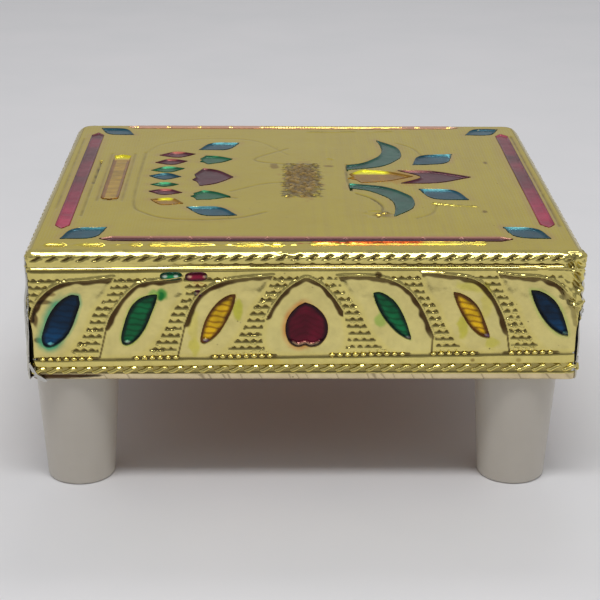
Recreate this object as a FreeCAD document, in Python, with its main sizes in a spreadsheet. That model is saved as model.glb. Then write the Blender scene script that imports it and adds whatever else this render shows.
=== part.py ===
import FreeCAD, Part
import math
import os

import Sketcher
from FreeCAD import Placement, Rotation, Vector

# A puja chowki: a low prayer table. A board on four rails makes a shallow box,
# an embossed foil sheet covers it and folds under its rim, and four tapered
# plastic legs are screwed up into blocks in its corners.
# Frame: millimetres, +Z up, X to the right, Y away from the front, with the
# origin on the floor under the middle of the box.

doc = FreeCAD.newDocument("PujaChowki")
sheet = doc.addObject("Spreadsheet::Sheet", "Sizes")

SIZES = [
    # the wooden box
    ("case_width", 152.4, "box without its foil, left to right"),
    ("case_depth", 137.4, "box without its foil, front to rear"),
    ("case_front_radius", 1.4, "upright edges at the front"),
    ("case_rear_radius", 4.4, "upright edges at the rear"),
    ("deck_thickness", 6.0, "board under the foil"),
    ("rail_height", 30.0, "strips under the board"),
    ("rail_thickness", 8.0, "strips under the board"),
    ("block_side", 22.0, "square block in each corner"),
    # the foil
    ("skin", 0.8, "foil sheet with the hollow behind its relief"),
    ("skin_edge_round", 1.0, "bend from the top to the skirts"),
    ("hem_width", 8.0, "foil folded under the rails"),
    ("hem_thickness", 0.4, "foil folded under the rails"),
    ("upper_rope_drop", 0.7, "top face to the upper rope"),
    ("upper_rope_height", 3.0, "upper rope, up and down"),
    ("rope_proud", 0.5, "ropes stand out from the skirt"),
    ("rope_round", 0.42, "edges of a rope band"),
    ("line_drop", 4.2, "top face to the plain double line"),
    ("line_height", 0.55, "each plain line"),
    ("line_space", 0.85, "pitch of the two plain lines"),
    ("line_proud", 0.3, "plain lines stand out"),
    ("bead_rise", 5.8, "foil hem up to the bead row"),
    ("bead_height", 0.8, "bead row, up and down"),
    ("lower_rope_rise", 1.8, "foil hem up to the lower rope"),
    ("lower_rope_height", 2.1, "lower rope, up and down"),
    ("field_drop", 7.2, "top face to the row of niches"),
    ("field_rise", 6.9, "foil hem up to the row of niches"),
    ("centre_pitch", 24.1, "middle niche to the next ones"),
    ("side_pitch", 21.8, "other niches, one to the next"),
    ("niche_depth", 0.3, "floor of a niche under the skirt face"),
    ("rim_width", 0.9, "raised rim over a niche"),
    ("rim_proud", 0.35, "raised rim over a niche"),
    ("leaf_length", 17.2, "lacquered leaf in a niche"),
    ("leaf_width", 6.3, "lacquered leaf in a niche"),
    ("leaf_sink", 1.25, "middle of the niches down to the middle of a leaf"),
    ("heart_length", 12.6, "lacquered heart, up and down"),
    ("heart_width", 12.6, "lacquered heart, across"),
    ("heart_sink", 2.55, "middle of the niches down to the middle of a heart"),
    ("pocket_depth", 0.25, "lacquer pocket under the face round it"),
    ("enamel_thickness", 0.2, "lacquer in its pocket"),
    ("slit_width", 1.6, "gap between two skirts at a corner, at its foot"),
    ("slit_head", 12.6, "top face to the upper end of the gap"),
    ("slit_foot", 1.6, "skirt foot to the foot of the gap"),
    # the legs and their screws
    ("leg_length", 35.6, "floor to the foil hem"),
    ("leg_top_diameter", 24.2, "wide end, up"),
    ("leg_foot_diameter", 19.5, "narrow end, on the floor"),
    ("leg_edge_round", 0.8, "edge of the foot"),
    ("leg_bore_diameter", 11.0, "hollow in the foot for the screw head"),
    ("leg_bore_depth", 24.0, "hollow in the foot for the screw head"),
    ("leg_left_inset", 10.9, "side of the box to the left legs' middle"),
    ("leg_right_inset", 14.7, "side of the box to the right legs' middle"),
    ("leg_front_inset", 12.6, "front of the box to the front legs' middle"),
    ("leg_rear_inset", 12.6, "rear of the box to the rear legs' middle"),
    ("screw_diameter", 3.5, "leg screw shank"),
    ("screw_length", 30.0, "leg screw under its head"),
    ("screw_point", 4.0, "tapered end of the leg screw"),
    ("screw_head_diameter", 7.0, "leg screw head"),
    ("screw_head_height", 2.2, "leg screw head"),
    ("screw_slot_length", 4.4, "cross recess in the head, end to end"),
    ("screw_slot_width", 0.9, "cross recess in the head"),
    ("screw_slot_depth", 1.2, "cross recess in the head"),
    ("screw_clearance", 0.35, "leg hole beyond the shank, all round"),
    ("pilot_clearance", 0.05, "hole in wood beyond a shank, all round"),
    ("washer_diameter", 9.5, "washer under a screw head"),
    ("washer_thickness", 0.8, "washer under a screw head"),
    # nails and tacks
    ("nail_diameter", 1.4, "nails of the box"),
    ("nail_length", 22.0, "nails of the box, with the head"),
    ("nail_point", 2.0, "tapered end of a nail"),
    ("nail_head_diameter", 3.0, "nails of the box"),
    ("nail_head_height", 0.8, "nails of the box, sunk flush"),
    ("tack_diameter", 0.9, "tacks of the hem"),
    ("tack_length", 8.0, "tacks of the hem, under the head"),
    ("tack_point", 1.4, "tapered end of a tack"),
    ("tack_head_diameter", 3.2, "tacks of the hem"),
    ("tack_head_height", 0.5, "tacks of the hem"),
    # one overrun for every cut
    ("overrun", 2.0, "how far a cutting shape passes the faces that it cuts"),
]

for row, (alias, value, note) in enumerate(SIZES, start=1):
    sheet.set("A%d" % row, alias)
    sheet.set("B%d" % row, str(value))
    sheet.setAlias("B%d" % row, alias)
    sheet.set("C%d" % row, note)
doc.recompute()


def size(alias):
    """The value of one named size, in millimetres."""
    return float(sheet.get(alias))


# Angles, in degrees.
FULL_TURN = 360
QUARTER_TURN = 90
LEAF_LEAN = 57.7

# An edge counts as upright when this share of its length is rise.
UPRIGHT_SHARE = 0.999

# Expressions that several pieces share.
ZERO = "0"
S = "<<Sizes>>."
CASE_BOTTOM = "(" + S + "leg_length + " + S + "hem_thickness)"
RAIL_TOP = "(" + CASE_BOTTOM + " + " + S + "rail_height)"
SKIRT_WIDTH = "(" + S + "case_width + 2 * " + S + "skin)"
SKIRT_DEPTH = "(" + S + "case_depth + 2 * " + S + "skin)"
CASE_HEIGHT = "(" + S + "rail_height + " + S + "deck_thickness)"

# The same places as numbers, for the shapes that are worked out in code.
case_bottom = size("leg_length") + size("hem_thickness")
rail_top = case_bottom + size("rail_height")
deck_top = rail_top + size("deck_thickness")
foil_top = deck_top + size("skin")
foil_tall = foil_top - size("leg_length")
field_height = foil_tall - size("field_drop") - size("field_rise")
field_foot = -(size("field_drop") + field_height)
field_middle = -(size("field_drop") + field_height / 2)
skirt_width = size("case_width") + 2 * size("skin")
skirt_depth = size("case_depth") + 2 * size("skin")


def origin_plane(body, role):
    """One of the body's own origin planes, such as XY_Plane."""
    for feature in body.Origin.OriginFeatures:
        if feature.Role == role:
            return feature
    raise ValueError(role)


def new_body(label):
    body = doc.addObject("PartDesign::Body", label + "_body")
    body.Label = label
    return body


def new_sketch(body, name, role="XY_Plane", height=None):
    """A sketch on an origin plane, raised along its normal by an expression."""
    sketch = body.newObject("Sketcher::SketchObject", name)
    sketch.AttachmentSupport = [(origin_plane(body, role), "")]
    sketch.MapMode = "FlatFace"
    if height:
        sketch.setExpression("AttachmentOffset.Base.z", height)
    return sketch


def bind(sketch, constraint, expression):
    """Add one measured constraint and tie it to a named size."""
    index = sketch.addConstraint(constraint)
    sketch.setExpression("Constraints[%d]" % index, expression)


def locate(sketch, item, point, start, x, y):
    """Tie a point of a sketch to expressions from the origin; ZERO puts it on an axis."""
    if x == ZERO:
        sketch.addConstraint(Sketcher.Constraint("PointOnObject", item, point, -2))
    else:
        bind(sketch, Sketcher.Constraint("DistanceX", -1, 1, item, point, start.x), x)
    if y == ZERO:
        sketch.addConstraint(Sketcher.Constraint("PointOnObject", item, point, -1))
    else:
        bind(sketch, Sketcher.Constraint("DistanceY", -1, 1, item, point, start.y), y)


def sketch_rectangle(sketch, width, depth):
    """A rectangle about the sketch's origin, its sides given as expressions."""
    half = size("block_side") / 2
    corner = [(-half, -half), (half, -half), (half, half), (-half, half)]
    for k in range(4):
        start = Vector(*corner[k], 0)
        end = Vector(*corner[(k + 1) % 4], 0)
        sketch.addGeometry(Part.LineSegment(start, end), False)
    for k in range(4):
        sketch.addConstraint(Sketcher.Constraint("Coincident", k, 2, (k + 1) % 4, 1))
    for k in (0, 2):
        sketch.addConstraint(Sketcher.Constraint("Horizontal", k))
    for k in (1, 3):
        sketch.addConstraint(Sketcher.Constraint("Vertical", k))
    sketch.addConstraint(Sketcher.Constraint("Symmetric", 0, 1, 1, 2, -1, 1))
    bind(sketch, Sketcher.Constraint("DistanceX", 0, 1, 0, 2, 2 * half), width)
    bind(sketch, Sketcher.Constraint("DistanceY", 1, 1, 1, 2, 2 * half), depth)


def sketch_circles(sketch, places, diameter):
    """Circles of one named diameter; places are pairs of expressions."""
    start = size("nail_head_diameter")
    for k, (x, y) in enumerate(places):
        centre = Vector(start * (k + 1), start * (k + 1), 0)
        sketch.addGeometry(Part.Circle(centre, Vector(0, 0, 1), start), False)
        bind(sketch, Sketcher.Constraint("Diameter", k, 2 * start), diameter)
        locate(sketch, k, 3, centre, x, y)


def pad(body, sketch, length, name="Pad"):
    feature = body.newObject("PartDesign::Pad", name)
    feature.Profile = sketch
    feature.setExpression("Length", length)
    sketch.Visibility = False
    return feature


def pocket(body, sketch, length, name="Pocket", reverse=False):
    """Cut a sketch into its body and make sure that something was cut."""
    doc.recompute()
    before = body.Shape.Volume
    feature = body.newObject("PartDesign::Pocket", name)
    feature.Profile = sketch
    feature.Reversed = reverse
    feature.setExpression("Length", length)
    doc.recompute()
    if body.Shape.Volume >= before:
        raise ValueError("%s in %s cut nothing" % (name, body.Label))
    return feature


def upright_edges(shape, wanted):
    """Names of the straight edges along Z whose middle point is wanted."""
    names = []
    for k, edge in enumerate(shape.Edges, start=1):
        ends = [vertex.Point for vertex in edge.Vertexes]
        if len(ends) != 2 or abs(ends[0].z - ends[1].z) < edge.Length * UPRIGHT_SHARE:
            continue
        if wanted((ends[0] + ends[1]) / 2):
            names.append("Edge%d" % k)
    return names


def round_edges(body, base, names, radius, name="Round"):
    feature = body.newObject("PartDesign::Fillet", name)
    feature.Base = (base, names)
    feature.setExpression("Radius", radius)
    doc.recompute()
    return feature


def opposite(sign):
    return "" if sign == "-" else "-"


def place(item, x=ZERO, y=ZERO, z=ZERO):
    """Place an object by expressions."""
    item.setExpression("Placement.Base.x", x)
    item.setExpression("Placement.Base.y", y)
    item.setExpression("Placement.Base.z", z)


def round_case_corners(body, base, extra=""):
    """Round the four upright edges: the front pair tight, the rear pair wide."""
    doc.recompute()
    front = upright_edges(base.Shape, lambda p: p.y < 0)
    tight = round_edges(body, base, front, S + "case_front_radius" + extra, "FrontRound")
    rear = upright_edges(tight.Shape, lambda p: p.y > 0 and on_corner(tight.Shape, p))
    return round_edges(body, tight, rear, S + "case_rear_radius" + extra, "RearRound")


def on_corner(shape, point):
    """True where a point lies on an upright corner of the shape's own box."""
    box = shape.BoundBox
    near = size("pilot_clearance")
    at_x = min(abs(point.x - box.XMin), abs(point.x - box.XMax)) < near
    at_y = min(abs(point.y - box.YMin), abs(point.y - box.YMax)) < near
    return at_x and at_y


# Deck board, with countersunk holes for the nails that hold it to the rails.

deck_nail_x_shares = (-0.32, 0.0, 0.32)
deck_nail_y_shares = (-0.22, 0.22)
rail_middle = S + "rail_thickness / 2"
nail_row_front = "(" + S + "case_depth / 2 - " + rail_middle + ")"
nail_row_side = "(" + S + "case_width / 2 - " + rail_middle + ")"
deck_nail_places = []
for share in deck_nail_x_shares:
    for side in ("-", ""):
        deck_nail_places.append(("%g * %scase_width" % (share, S), side + nail_row_front))
for share in deck_nail_y_shares:
    for side in ("-", ""):
        deck_nail_places.append((side + nail_row_side, "%g * %scase_depth" % (share, S)))

NAIL_HOLE = S + "nail_diameter + 2 * " + S + "pilot_clearance"
NAIL_SINK = S + "nail_head_diameter + 2 * " + S + "pilot_clearance"

deck = new_body("deck_board")
sketch = new_sketch(deck, "DeckPlan")
sketch_rectangle(sketch, S + "case_width", S + "case_depth")
deck_pad = pad(deck, sketch, S + "deck_thickness")
round_case_corners(deck, deck_pad)
sketch = new_sketch(deck, "DeckNailHoles", height=S + "deck_thickness")
sketch_circles(sketch, deck_nail_places, NAIL_HOLE)
pocket(deck, sketch, S + "deck_thickness + " + S + "overrun", "DeckNailHole")
sketch = new_sketch(deck, "DeckNailSinks", height=S + "deck_thickness")
sketch_circles(sketch, deck_nail_places, NAIL_SINK)
pocket(deck, sketch, S + "nail_head_height", "DeckNailSink")
place(deck, z=RAIL_TOP)


# Rails. The front and rear ones run the full width and lap the side ones.

rail_nail_height_shares = (0.27, 0.73)
tack_x_shares = (-0.2, 0.0, 0.2)
tack_y_shares = (-0.16, 0.16)
TACK_HOLE = S + "tack_diameter + 2 * " + S + "pilot_clearance"
TACK_BITE = S + "tack_length - " + S + "hem_thickness + " + S + "pilot_clearance"
TACK_INSET = "(" + S + "hem_width - " + S + "skin) / 2"
NAIL_BITE = S + "nail_length - " + S + "deck_thickness + " + S + "pilot_clearance"


def long_rail(label, front):
    """The front or the rear rail, rounded like the deck above it."""
    rail = new_body(label)
    sketch = new_sketch(rail, label + "_plan")
    sketch_rectangle(sketch, S + "case_width", S + "rail_thickness")
    base = pad(rail, sketch, S + "rail_height")
    doc.recompute()
    outer = -1 if front else 1
    names = upright_edges(base.Shape, lambda p: p.y * outer > 0)
    radius = S + ("case_front_radius" if front else "case_rear_radius")
    round_edges(rail, base, names, radius)
    sign = "-" if front else ""

    sketch = new_sketch(rail, label + "_deck_nails", height=S + "rail_height")
    row = [("%g * %scase_width" % (share, S), ZERO) for share in deck_nail_x_shares]
    sketch_circles(sketch, row, NAIL_HOLE)
    pocket(rail, sketch, NAIL_BITE, label + "_deck_nail_hole")

    sketch = new_sketch(rail, label + "_tacks")
    tack_line = sign + "(" + S + "rail_thickness / 2 - " + TACK_INSET + ")"
    row = [("%g * %scase_width" % (share, S), tack_line) for share in tack_x_shares]
    sketch_circles(sketch, row, TACK_HOLE)
    pocket(rail, sketch, TACK_BITE, label + "_tack_hole", reverse=True)

    # the nails into the ends of the side rails go through this one
    holes = []
    for share in rail_nail_height_shares:
        for side in ("-", ""):
            holes.append((side + nail_row_side, "%g * %srail_height" % (share, S)))
    sketch = new_sketch(rail, label + "_corner_nails", "XZ_Plane")
    sketch_circles(sketch, holes, NAIL_HOLE)
    through = pocket(rail, sketch, S + "rail_thickness", label + "_corner_hole")
    through.Midplane = True
    through.setExpression("Length", "2 * (" + S + "rail_thickness + " + S + "overrun)")
    sketch = new_sketch(rail, label + "_corner_sinks", "XZ_Plane", opposite(sign) + "(" + rail_middle + ")")
    sketch_circles(sketch, holes, NAIL_SINK)
    pocket(rail, sketch, S + "nail_head_height", label + "_corner_sink", reverse=not front)

    middle = "(" + S + "case_depth / 2 - " + S + "rail_thickness / 2)"
    place(rail, y=sign + middle, z=CASE_BOTTOM)
    return rail


def side_rail(label, left):
    """The left or the right rail, between the long ones."""
    rail = new_body(label)
    length = "(" + S + "case_depth - 2 * " + S + "rail_thickness)"
    sketch = new_sketch(rail, label + "_plan")
    sketch_rectangle(sketch, S + "rail_thickness", length)
    pad(rail, sketch, S + "rail_height")
    sign = "-" if left else ""

    sketch = new_sketch(rail, label + "_deck_nails", height=S + "rail_height")
    row = [(ZERO, "%g * %scase_depth" % (share, S)) for share in deck_nail_y_shares]
    sketch_circles(sketch, row, NAIL_HOLE)
    pocket(rail, sketch, NAIL_BITE, label + "_deck_nail_hole")

    sketch = new_sketch(rail, label + "_tacks")
    tack_line = sign + "(" + S + "rail_thickness / 2 - " + TACK_INSET + ")"
    row = [(tack_line, "%g * %scase_depth" % (share, S)) for share in tack_y_shares]
    sketch_circles(sketch, row, TACK_HOLE)
    pocket(rail, sketch, TACK_BITE, label + "_tack_hole", reverse=True)

    bite = S + "nail_length - " + S + "rail_thickness + " + S + "pilot_clearance"
    row = [(ZERO, "%g * %srail_height" % (share, S)) for share in rail_nail_height_shares]
    for end, turn in (("front", ""), ("rear", "-")):
        sketch = new_sketch(rail, label + "_" + end + "_nails", "XZ_Plane", turn + length + " / 2")
        sketch_circles(sketch, row, NAIL_HOLE)
        pocket(rail, sketch, bite, label + "_" + end + "_hole", reverse=end == "rear")

    place(rail, x=sign + nail_row_side, z=CASE_BOTTOM)
    return rail


long_rail("front_rail", True)
long_rail("rear_rail", False)
side_rail("left_rail", True)
side_rail("right_rail", False)


# Corner blocks, legs, washers and leg screws, one of each in every corner.

LEG_CORNERS = {
    "front_left": ("-", "leg_left_inset", "-", "leg_front_inset"),
    "front_right": ("", "leg_right_inset", "-", "leg_front_inset"),
    "rear_left": ("-", "leg_left_inset", "", "leg_rear_inset"),
    "rear_right": ("", "leg_right_inset", "", "leg_rear_inset"),
}


def corner_block(corner):
    """A square block glued into a corner, with the pilot hole of its leg screw."""
    x_sign, x_inset, y_sign, y_inset = LEG_CORNERS[corner]
    block = new_body("corner_block_" + corner)
    sketch = new_sketch(block, "block_plan_" + corner)
    sketch_rectangle(sketch, S + "block_side", S + "block_side")
    pad(block, sketch, S + "rail_height")
    reach = "(" + S + "rail_thickness + " + S + "block_side / 2)"
    hole_x = opposite(x_sign) + "(" + S + x_inset + " - " + reach + ")"
    hole_y = opposite(y_sign) + "(" + S + y_inset + " - " + reach + ")"
    sketch = new_sketch(block, "block_pilot_" + corner)
    pilot = S + "screw_diameter + 2 * " + S + "pilot_clearance"
    sketch_circles(sketch, [(hole_x, hole_y)], pilot)
    bite = (S + "leg_bore_depth - " + S + "washer_thickness + " + S + "screw_length - "
            + CASE_BOTTOM + " + " + S + "pilot_clearance")
    pocket(block, sketch, bite, "block_hole_" + corner, reverse=True)
    place(block, x=x_sign + "(" + S + "case_width / 2 - " + reach + ")",
          y=y_sign + "(" + S + "case_depth / 2 - " + reach + ")", z=CASE_BOTTOM)


def place_on_leg_axis(body, corner, z):
    x_sign, x_inset, y_sign, y_inset = LEG_CORNERS[corner]
    place(body, x=x_sign + "(" + S + "case_width / 2 - " + S + x_inset + ")",
          y=y_sign + "(" + S + "case_depth / 2 - " + S + y_inset + ")", z=z)


def revolve_profile(body, name, corners):
    """Spin a closed outline of (radius, height) expressions about the body's Z."""
    sketch = new_sketch(body, name, "XZ_Plane")
    count = len(corners)
    step = size("washer_thickness")
    spots = [Vector(step * (k + 1), step * (k * k + 1), 0) for k in range(count)]
    for k in range(count):
        sketch.addGeometry(Part.LineSegment(spots[k], spots[(k + 1) % count]), False)
    for k in range(count):
        sketch.addConstraint(Sketcher.Constraint("Coincident", k, 2, (k + 1) % count, 1))
    for k, (radius, height) in enumerate(corners):
        locate(sketch, k, 1, spots[k], radius, height)
    spin = body.newObject("PartDesign::Revolution", name + "_spin")
    spin.Profile = sketch
    spin.ReferenceAxis = (sketch, ["V_Axis"])
    spin.Angle = FULL_TURN
    doc.recompute()
    return spin


def leg(corner):
    """A tapered plastic leg, hollow at its foot, with the screw hole on its axis."""
    body = new_body("leg_" + corner)
    hole = S + "screw_diameter / 2 + " + S + "screw_clearance"
    bore = S + "leg_bore_diameter / 2"
    spin = revolve_profile(body, "leg_profile_" + corner, [
        (bore, ZERO),
        (S + "leg_foot_diameter / 2", ZERO),
        (S + "leg_top_diameter / 2", S + "leg_length"),
        (hole, S + "leg_length"),
        (hole, S + "leg_bore_depth"),
        (bore, S + "leg_bore_depth"),
    ])
    foot = []
    for k, edge in enumerate(spin.Shape.Edges, start=1):
        box = edge.BoundBox
        at_floor = box.ZMax < size("pilot_clearance")
        if at_floor and box.XLength > size("leg_bore_diameter") + size("pilot_clearance"):
            foot.append("Edge%d" % k)
    round_edges(body, spin, foot, S + "leg_edge_round", "FootRound")
    place_on_leg_axis(body, corner, "0")


def leg_washer(corner):
    body = new_body("leg_washer_" + corner)
    inner = S + "screw_diameter / 2 + " + S + "pilot_clearance"
    outer = S + "washer_diameter / 2"
    revolve_profile(body, "washer_profile_" + corner, [
        (inner, ZERO),
        (outer, ZERO),
        (outer, S + "washer_thickness"),
        (inner, S + "washer_thickness"),
    ])
    place_on_leg_axis(body, corner, S + "leg_bore_depth - " + S + "washer_thickness")


def leg_screw(corner):
    """A wood screw, head down, with a cross recess in its head."""
    body = new_body("leg_screw_" + corner)
    head = S + "screw_head_diameter / 2"
    shank = S + "screw_diameter / 2"
    head_height = S + "screw_head_height"
    revolve_profile(body, "screw_profile_" + corner, [
        (ZERO, ZERO),
        ("(" + head + " + " + shank + ") / 2", ZERO),
        (head, head_height + " / 2"),
        (head, head_height),
        (shank, head_height),
        (shank, head_height + " + " + S + "screw_length - " + S + "screw_point"),
        (ZERO, head_height + " + " + S + "screw_length"),
    ])
    long_side = S + "screw_slot_length"
    short_side = S + "screw_slot_width"
    for name, width, depth in (("slot_x", long_side, short_side), ("slot_y", short_side, long_side)):
        sketch = new_sketch(body, name + "_" + corner)
        sketch_rectangle(sketch, width, depth)
        pocket(body, sketch, S + "screw_slot_depth", name + "_cut_" + corner, reverse=True)
    head_foot = S + "leg_bore_depth - " + S + "washer_thickness - " + S + "screw_head_height"
    place_on_leg_axis(body, corner, head_foot)


for corner in LEG_CORNERS:
    corner_block(corner)
    leg(corner)
    leg_washer(corner)
    leg_screw(corner)


# Nails and tacks. Each group is one node of separate solids.

def pin(head_diameter, head_height, shank_diameter, shank_length, point):
    """A nail or tack along +Z: head from zero down, shank and point from zero up."""
    outline = [
        Vector(0, 0, -size(head_height)),
        Vector(size(head_diameter) / 2, 0, -size(head_height)),
        Vector(size(head_diameter) / 2, 0, 0),
        Vector(size(shank_diameter) / 2, 0, 0),
        Vector(size(shank_diameter) / 2, 0, shank_length - size(point)),
        Vector(0, 0, shank_length),
        Vector(0, 0, -size(head_height)),
    ]
    return Part.Face(Part.makePolygon(outline)).revolve(Vector(), Vector(0, 0, 1), FULL_TURN)


def pin_group(label, shape, places):
    """Copies of one pin, each at a place and pointing along a direction."""
    copies = []
    for spot, direction in places:
        turned = shape.copy()
        turned.Placement = Placement(spot, Rotation(Vector(0, 0, 1), direction))
        copies.append(turned)
    group = doc.addObject("Part::Feature", label)
    group.Label = label
    group.Shape = Part.makeCompound(copies)
    return group


nail = pin("nail_head_diameter", "nail_head_height", "nail_diameter",
           size("nail_length") - size("nail_head_height"), "nail_point")
tack = pin("tack_head_diameter", "tack_head_height", "tack_diameter",
           size("tack_length"), "tack_point")

half_width = size("case_width") / 2
half_depth = size("case_depth") / 2
rail_line_x = half_width - size("rail_thickness") / 2
rail_line_y = half_depth - size("rail_thickness") / 2
down = Vector(0, 0, -1)
up = Vector(0, 0, 1)

nail_seat = deck_top - size("nail_head_height")
deck_places = []
for share in deck_nail_x_shares:
    for side in (-1, 1):
        deck_places.append((Vector(share * size("case_width"), side * rail_line_y, nail_seat), down))
for share in deck_nail_y_shares:
    for side in (-1, 1):
        deck_places.append((Vector(side * rail_line_x, share * size("case_depth"), nail_seat), down))
pin_group("deck_nails", nail, deck_places)

corner_places = []
for share in rail_nail_height_shares:
    height = case_bottom + share * size("rail_height")
    for side in (-1, 1):
        for end in (-1, 1):
            seat = end * (half_depth - size("nail_head_height"))
            corner_places.append((Vector(side * rail_line_x, seat, height), Vector(0, -end, 0)))
pin_group("rail_nails", nail, corner_places)

tack_inset = (size("hem_width") - size("skin")) / 2
tack_places = []
for share in tack_x_shares:
    for side in (-1, 1):
        spot = Vector(share * size("case_width"), side * (half_depth - tack_inset), size("leg_length"))
        tack_places.append((spot, up))
for share in tack_y_shares:
    for side in (-1, 1):
        spot = Vector(side * (half_width - tack_inset), share * size("case_depth"), size("leg_length"))
        tack_places.append((spot, up))
pin_group("hem_tacks", tack, tack_places)


# The foil cover before its relief: a lid over the box with a hem under the rails.

foil = new_body("foil_blank")
sketch = new_sketch(foil, "FoilPlan")
sketch_rectangle(sketch, SKIRT_WIDTH, SKIRT_DEPTH)
foil_height = S + "hem_thickness + " + CASE_HEIGHT + " + " + S + "skin"
foil_pad = pad(foil, sketch, foil_height)
rounded = round_case_corners(foil, foil_pad, " + " + S + "skin")
top_edges = []
for k, edge in enumerate(rounded.Shape.Edges, start=1):
    if edge.BoundBox.ZMin > rounded.Shape.BoundBox.ZMax - size("pilot_clearance"):
        top_edges.append("Edge%d" % k)
round_edges(foil, rounded, top_edges, S + "skin_edge_round", "Bend")
HEM_INSET = "2 * (" + S + "hem_width - " + S + "skin)"
sketch = new_sketch(foil, "HemOpening", height=S + "hem_thickness")
sketch_rectangle(sketch, S + "case_width - " + HEM_INSET, S + "case_depth - " + HEM_INSET)
pocket(foil, sketch, S + "hem_thickness + " + S + "overrun", "HemCut")
place(foil, z=S + "leg_length")
doc.recompute()


# Outlines on the foil are lists of stretches: two points make a straight edge,
# more make one smooth curve. Points are shares of the outline's length and width.

ALMOND_SHARES = (
    ((-0.5, 0.0), (0.0, -0.5), (0.5, 0.0)),
    ((0.5, 0.0), (0.0, 0.5), (-0.5, 0.0)),
)
PETAL_SHARES = (
    ((-0.42, -0.5), (0.12, -0.36), (0.5, 0.0)),
    ((0.5, 0.0), (0.12, 0.36), (-0.42, 0.5)),
    ((-0.42, 0.5), (-0.5, 0.0), (-0.42, -0.5)),
)
BUD_SHARES = (
    ((-0.5, -0.5), (0.0, -0.44), (0.5, 0.0)),
    ((0.5, 0.0), (0.0, 0.44), (-0.5, 0.5)),
    ((-0.5, 0.5), (-0.2, 0.0), (-0.5, -0.5)),
)
BAR_SHARES = (
    ((-0.5, 0.0), (-0.47, -0.5)),
    ((-0.47, -0.5), (0.47, -0.5)),
    ((0.47, -0.5), (0.5, 0.0)),
    ((0.5, 0.0), (0.47, 0.5)),
    ((0.47, 0.5), (-0.47, 0.5)),
    ((-0.47, 0.5), (-0.5, 0.0)),
)
HEART_SHARES = (
    ((0.0, 0.5), (-0.24, 0.33), (-0.47, 0.0), (-0.43, -0.36), (-0.24, -0.5), (0.0, -0.42)),
    ((0.0, -0.42), (0.24, -0.5), (0.43, -0.36), (0.47, 0.0), (0.24, 0.33), (0.0, 0.5)),
)
LEAF_SHARES = (
    ((-0.5, 0.0), (-0.2, 0.4), (0.04, 0.63), (0.23, 0.6), (0.41, 0.33), (0.5, 0.0)),
    ((0.5, 0.0), (0.31, -0.19), (0.13, -0.32), (-0.1, -0.38), (-0.34, -0.3), (-0.5, 0.0)),
)
MANGO_SHARES = (
    ((0.0, 0.18), (0.0, 0.3)),
    ((0.0, 0.3), (0.116, 0.358), (0.202, 0.464), (0.26, 0.58), (0.284, 0.75), (0.26, 1.0)),
    ((0.26, 1.0), (0.396, 0.793), (0.416, 0.58), (0.376, 0.447), (0.242, 0.271), (0.0, 0.18)),
)

# A niche leans to the right at its tip. Across: shares of the pitch from its
# middle. Up: shares of the height of the row of niches.
NICHE_RIM_SHARES = ((-0.44, 0.39), (-0.358, 0.545), (-0.248, 0.69), (-0.092, 0.82), (0.083, 0.9),
                    (0.275, 0.953), (0.569, 0.975))
NICHE_BACK_SHARES = ((0.569, 0.975), (0.56, 0.79), (0.472, 0.69), (0.413, 0.6), (0.335, 0.42),
                     (0.23, 0.245), (0.064, 0.064), (-0.046, 0.0))
NICHE_FOOT_SHARES = ((-0.046, 0.0), (-0.54, 0.0))
NICHE_FRONT_SHARES = ((-0.54, 0.0), (-0.44, 0.39))
OGEE_RIM_SHARES = ((-0.454, 0.575), (-0.358, 0.687), (-0.252, 0.803), (-0.128, 0.914), (0.0, 0.99))
OGEE_FOOT_SHARES = ((0.358, 0.0), (-0.358, 0.0))
OGEE_SIDE_SHARES = ((-0.358, 0.0), (-0.495, 0.086), (-0.532, 0.25), (-0.495, 0.464), (-0.454, 0.575))


def stretch_edge(points):
    if len(points) == 2:
        return Part.LineSegment(points[0], points[1]).toShape()
    curve = Part.BSplineCurve()
    curve.interpolate(points)
    return curve.toShape()


def flat_face(stretches, move):
    """A flat face from stretches of share points, each moved into millimetres."""
    edges = [stretch_edge([move(point) for point in stretch]) for stretch in stretches]
    return Part.Face(Part.Wire(edges))


def slab(face, low, high):
    """A flat face thickened along the local Z, from low to high."""
    block = face.extrude(Vector(0, 0, high - low))
    block.translate(Vector(0, 0, low))
    return block


def gem_move(x, y, length, width, turn, mirror=1):
    """Turns share points into millimetres about a gem's middle."""
    angle = math.radians(turn)

    def move(point):
        along = point[0] * length
        across = point[1] * width
        dx = along * math.cos(angle) - across * math.sin(angle)
        dy = along * math.sin(angle) + across * math.cos(angle)
        return Vector(mirror * (x + dx), y + dy, 0)

    return move


def shares_move(x, y, x_scale, y_scale):
    def move(point):
        return Vector(x + point[0] * x_scale, y + point[1] * y_scale, 0)

    return move


def offset_line(points, distance):
    """The points of a line moved sideways, to the left of its run."""
    moved = []
    for k, point in enumerate(points):
        before = points[max(k - 1, 0)]
        after = points[min(k + 1, len(points) - 1)]
        run = (after - before).normalize()
        moved.append(point + Vector(-run.y, run.x, 0) * distance)
    return moved


# Each skirt's own frame: X to the right, Y up from the top face, Z outwards.

def skirt_frame(quarter):
    reach = (skirt_depth if quarter % 2 == 0 else skirt_width) / 2
    stand = Placement(Vector(0, -reach, foil_top), Rotation(Vector(1, 0, 0), QUARTER_TURN))
    return Placement(Vector(), Rotation(Vector(0, 0, 1), QUARTER_TURN * quarter)).multiply(stand)


raised = []
sunk = []
enamel = {"red": [], "blue": [], "green": [], "yellow": []}


def add_gem(colour, stretches, move, frame, floor):
    """A lacquer pocket below a floor level, and the lacquer that lies in it."""
    face = flat_face(stretches, move)
    bottom = floor - size("pocket_depth")
    hole = slab(face, bottom, size("overrun"))
    fill = slab(face, bottom, bottom + size("enamel_thickness"))
    for shape in (hole, fill):
        shape.transformShape(frame.toMatrix())
    sunk.append(hole)
    enamel[colour].append(fill)


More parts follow.
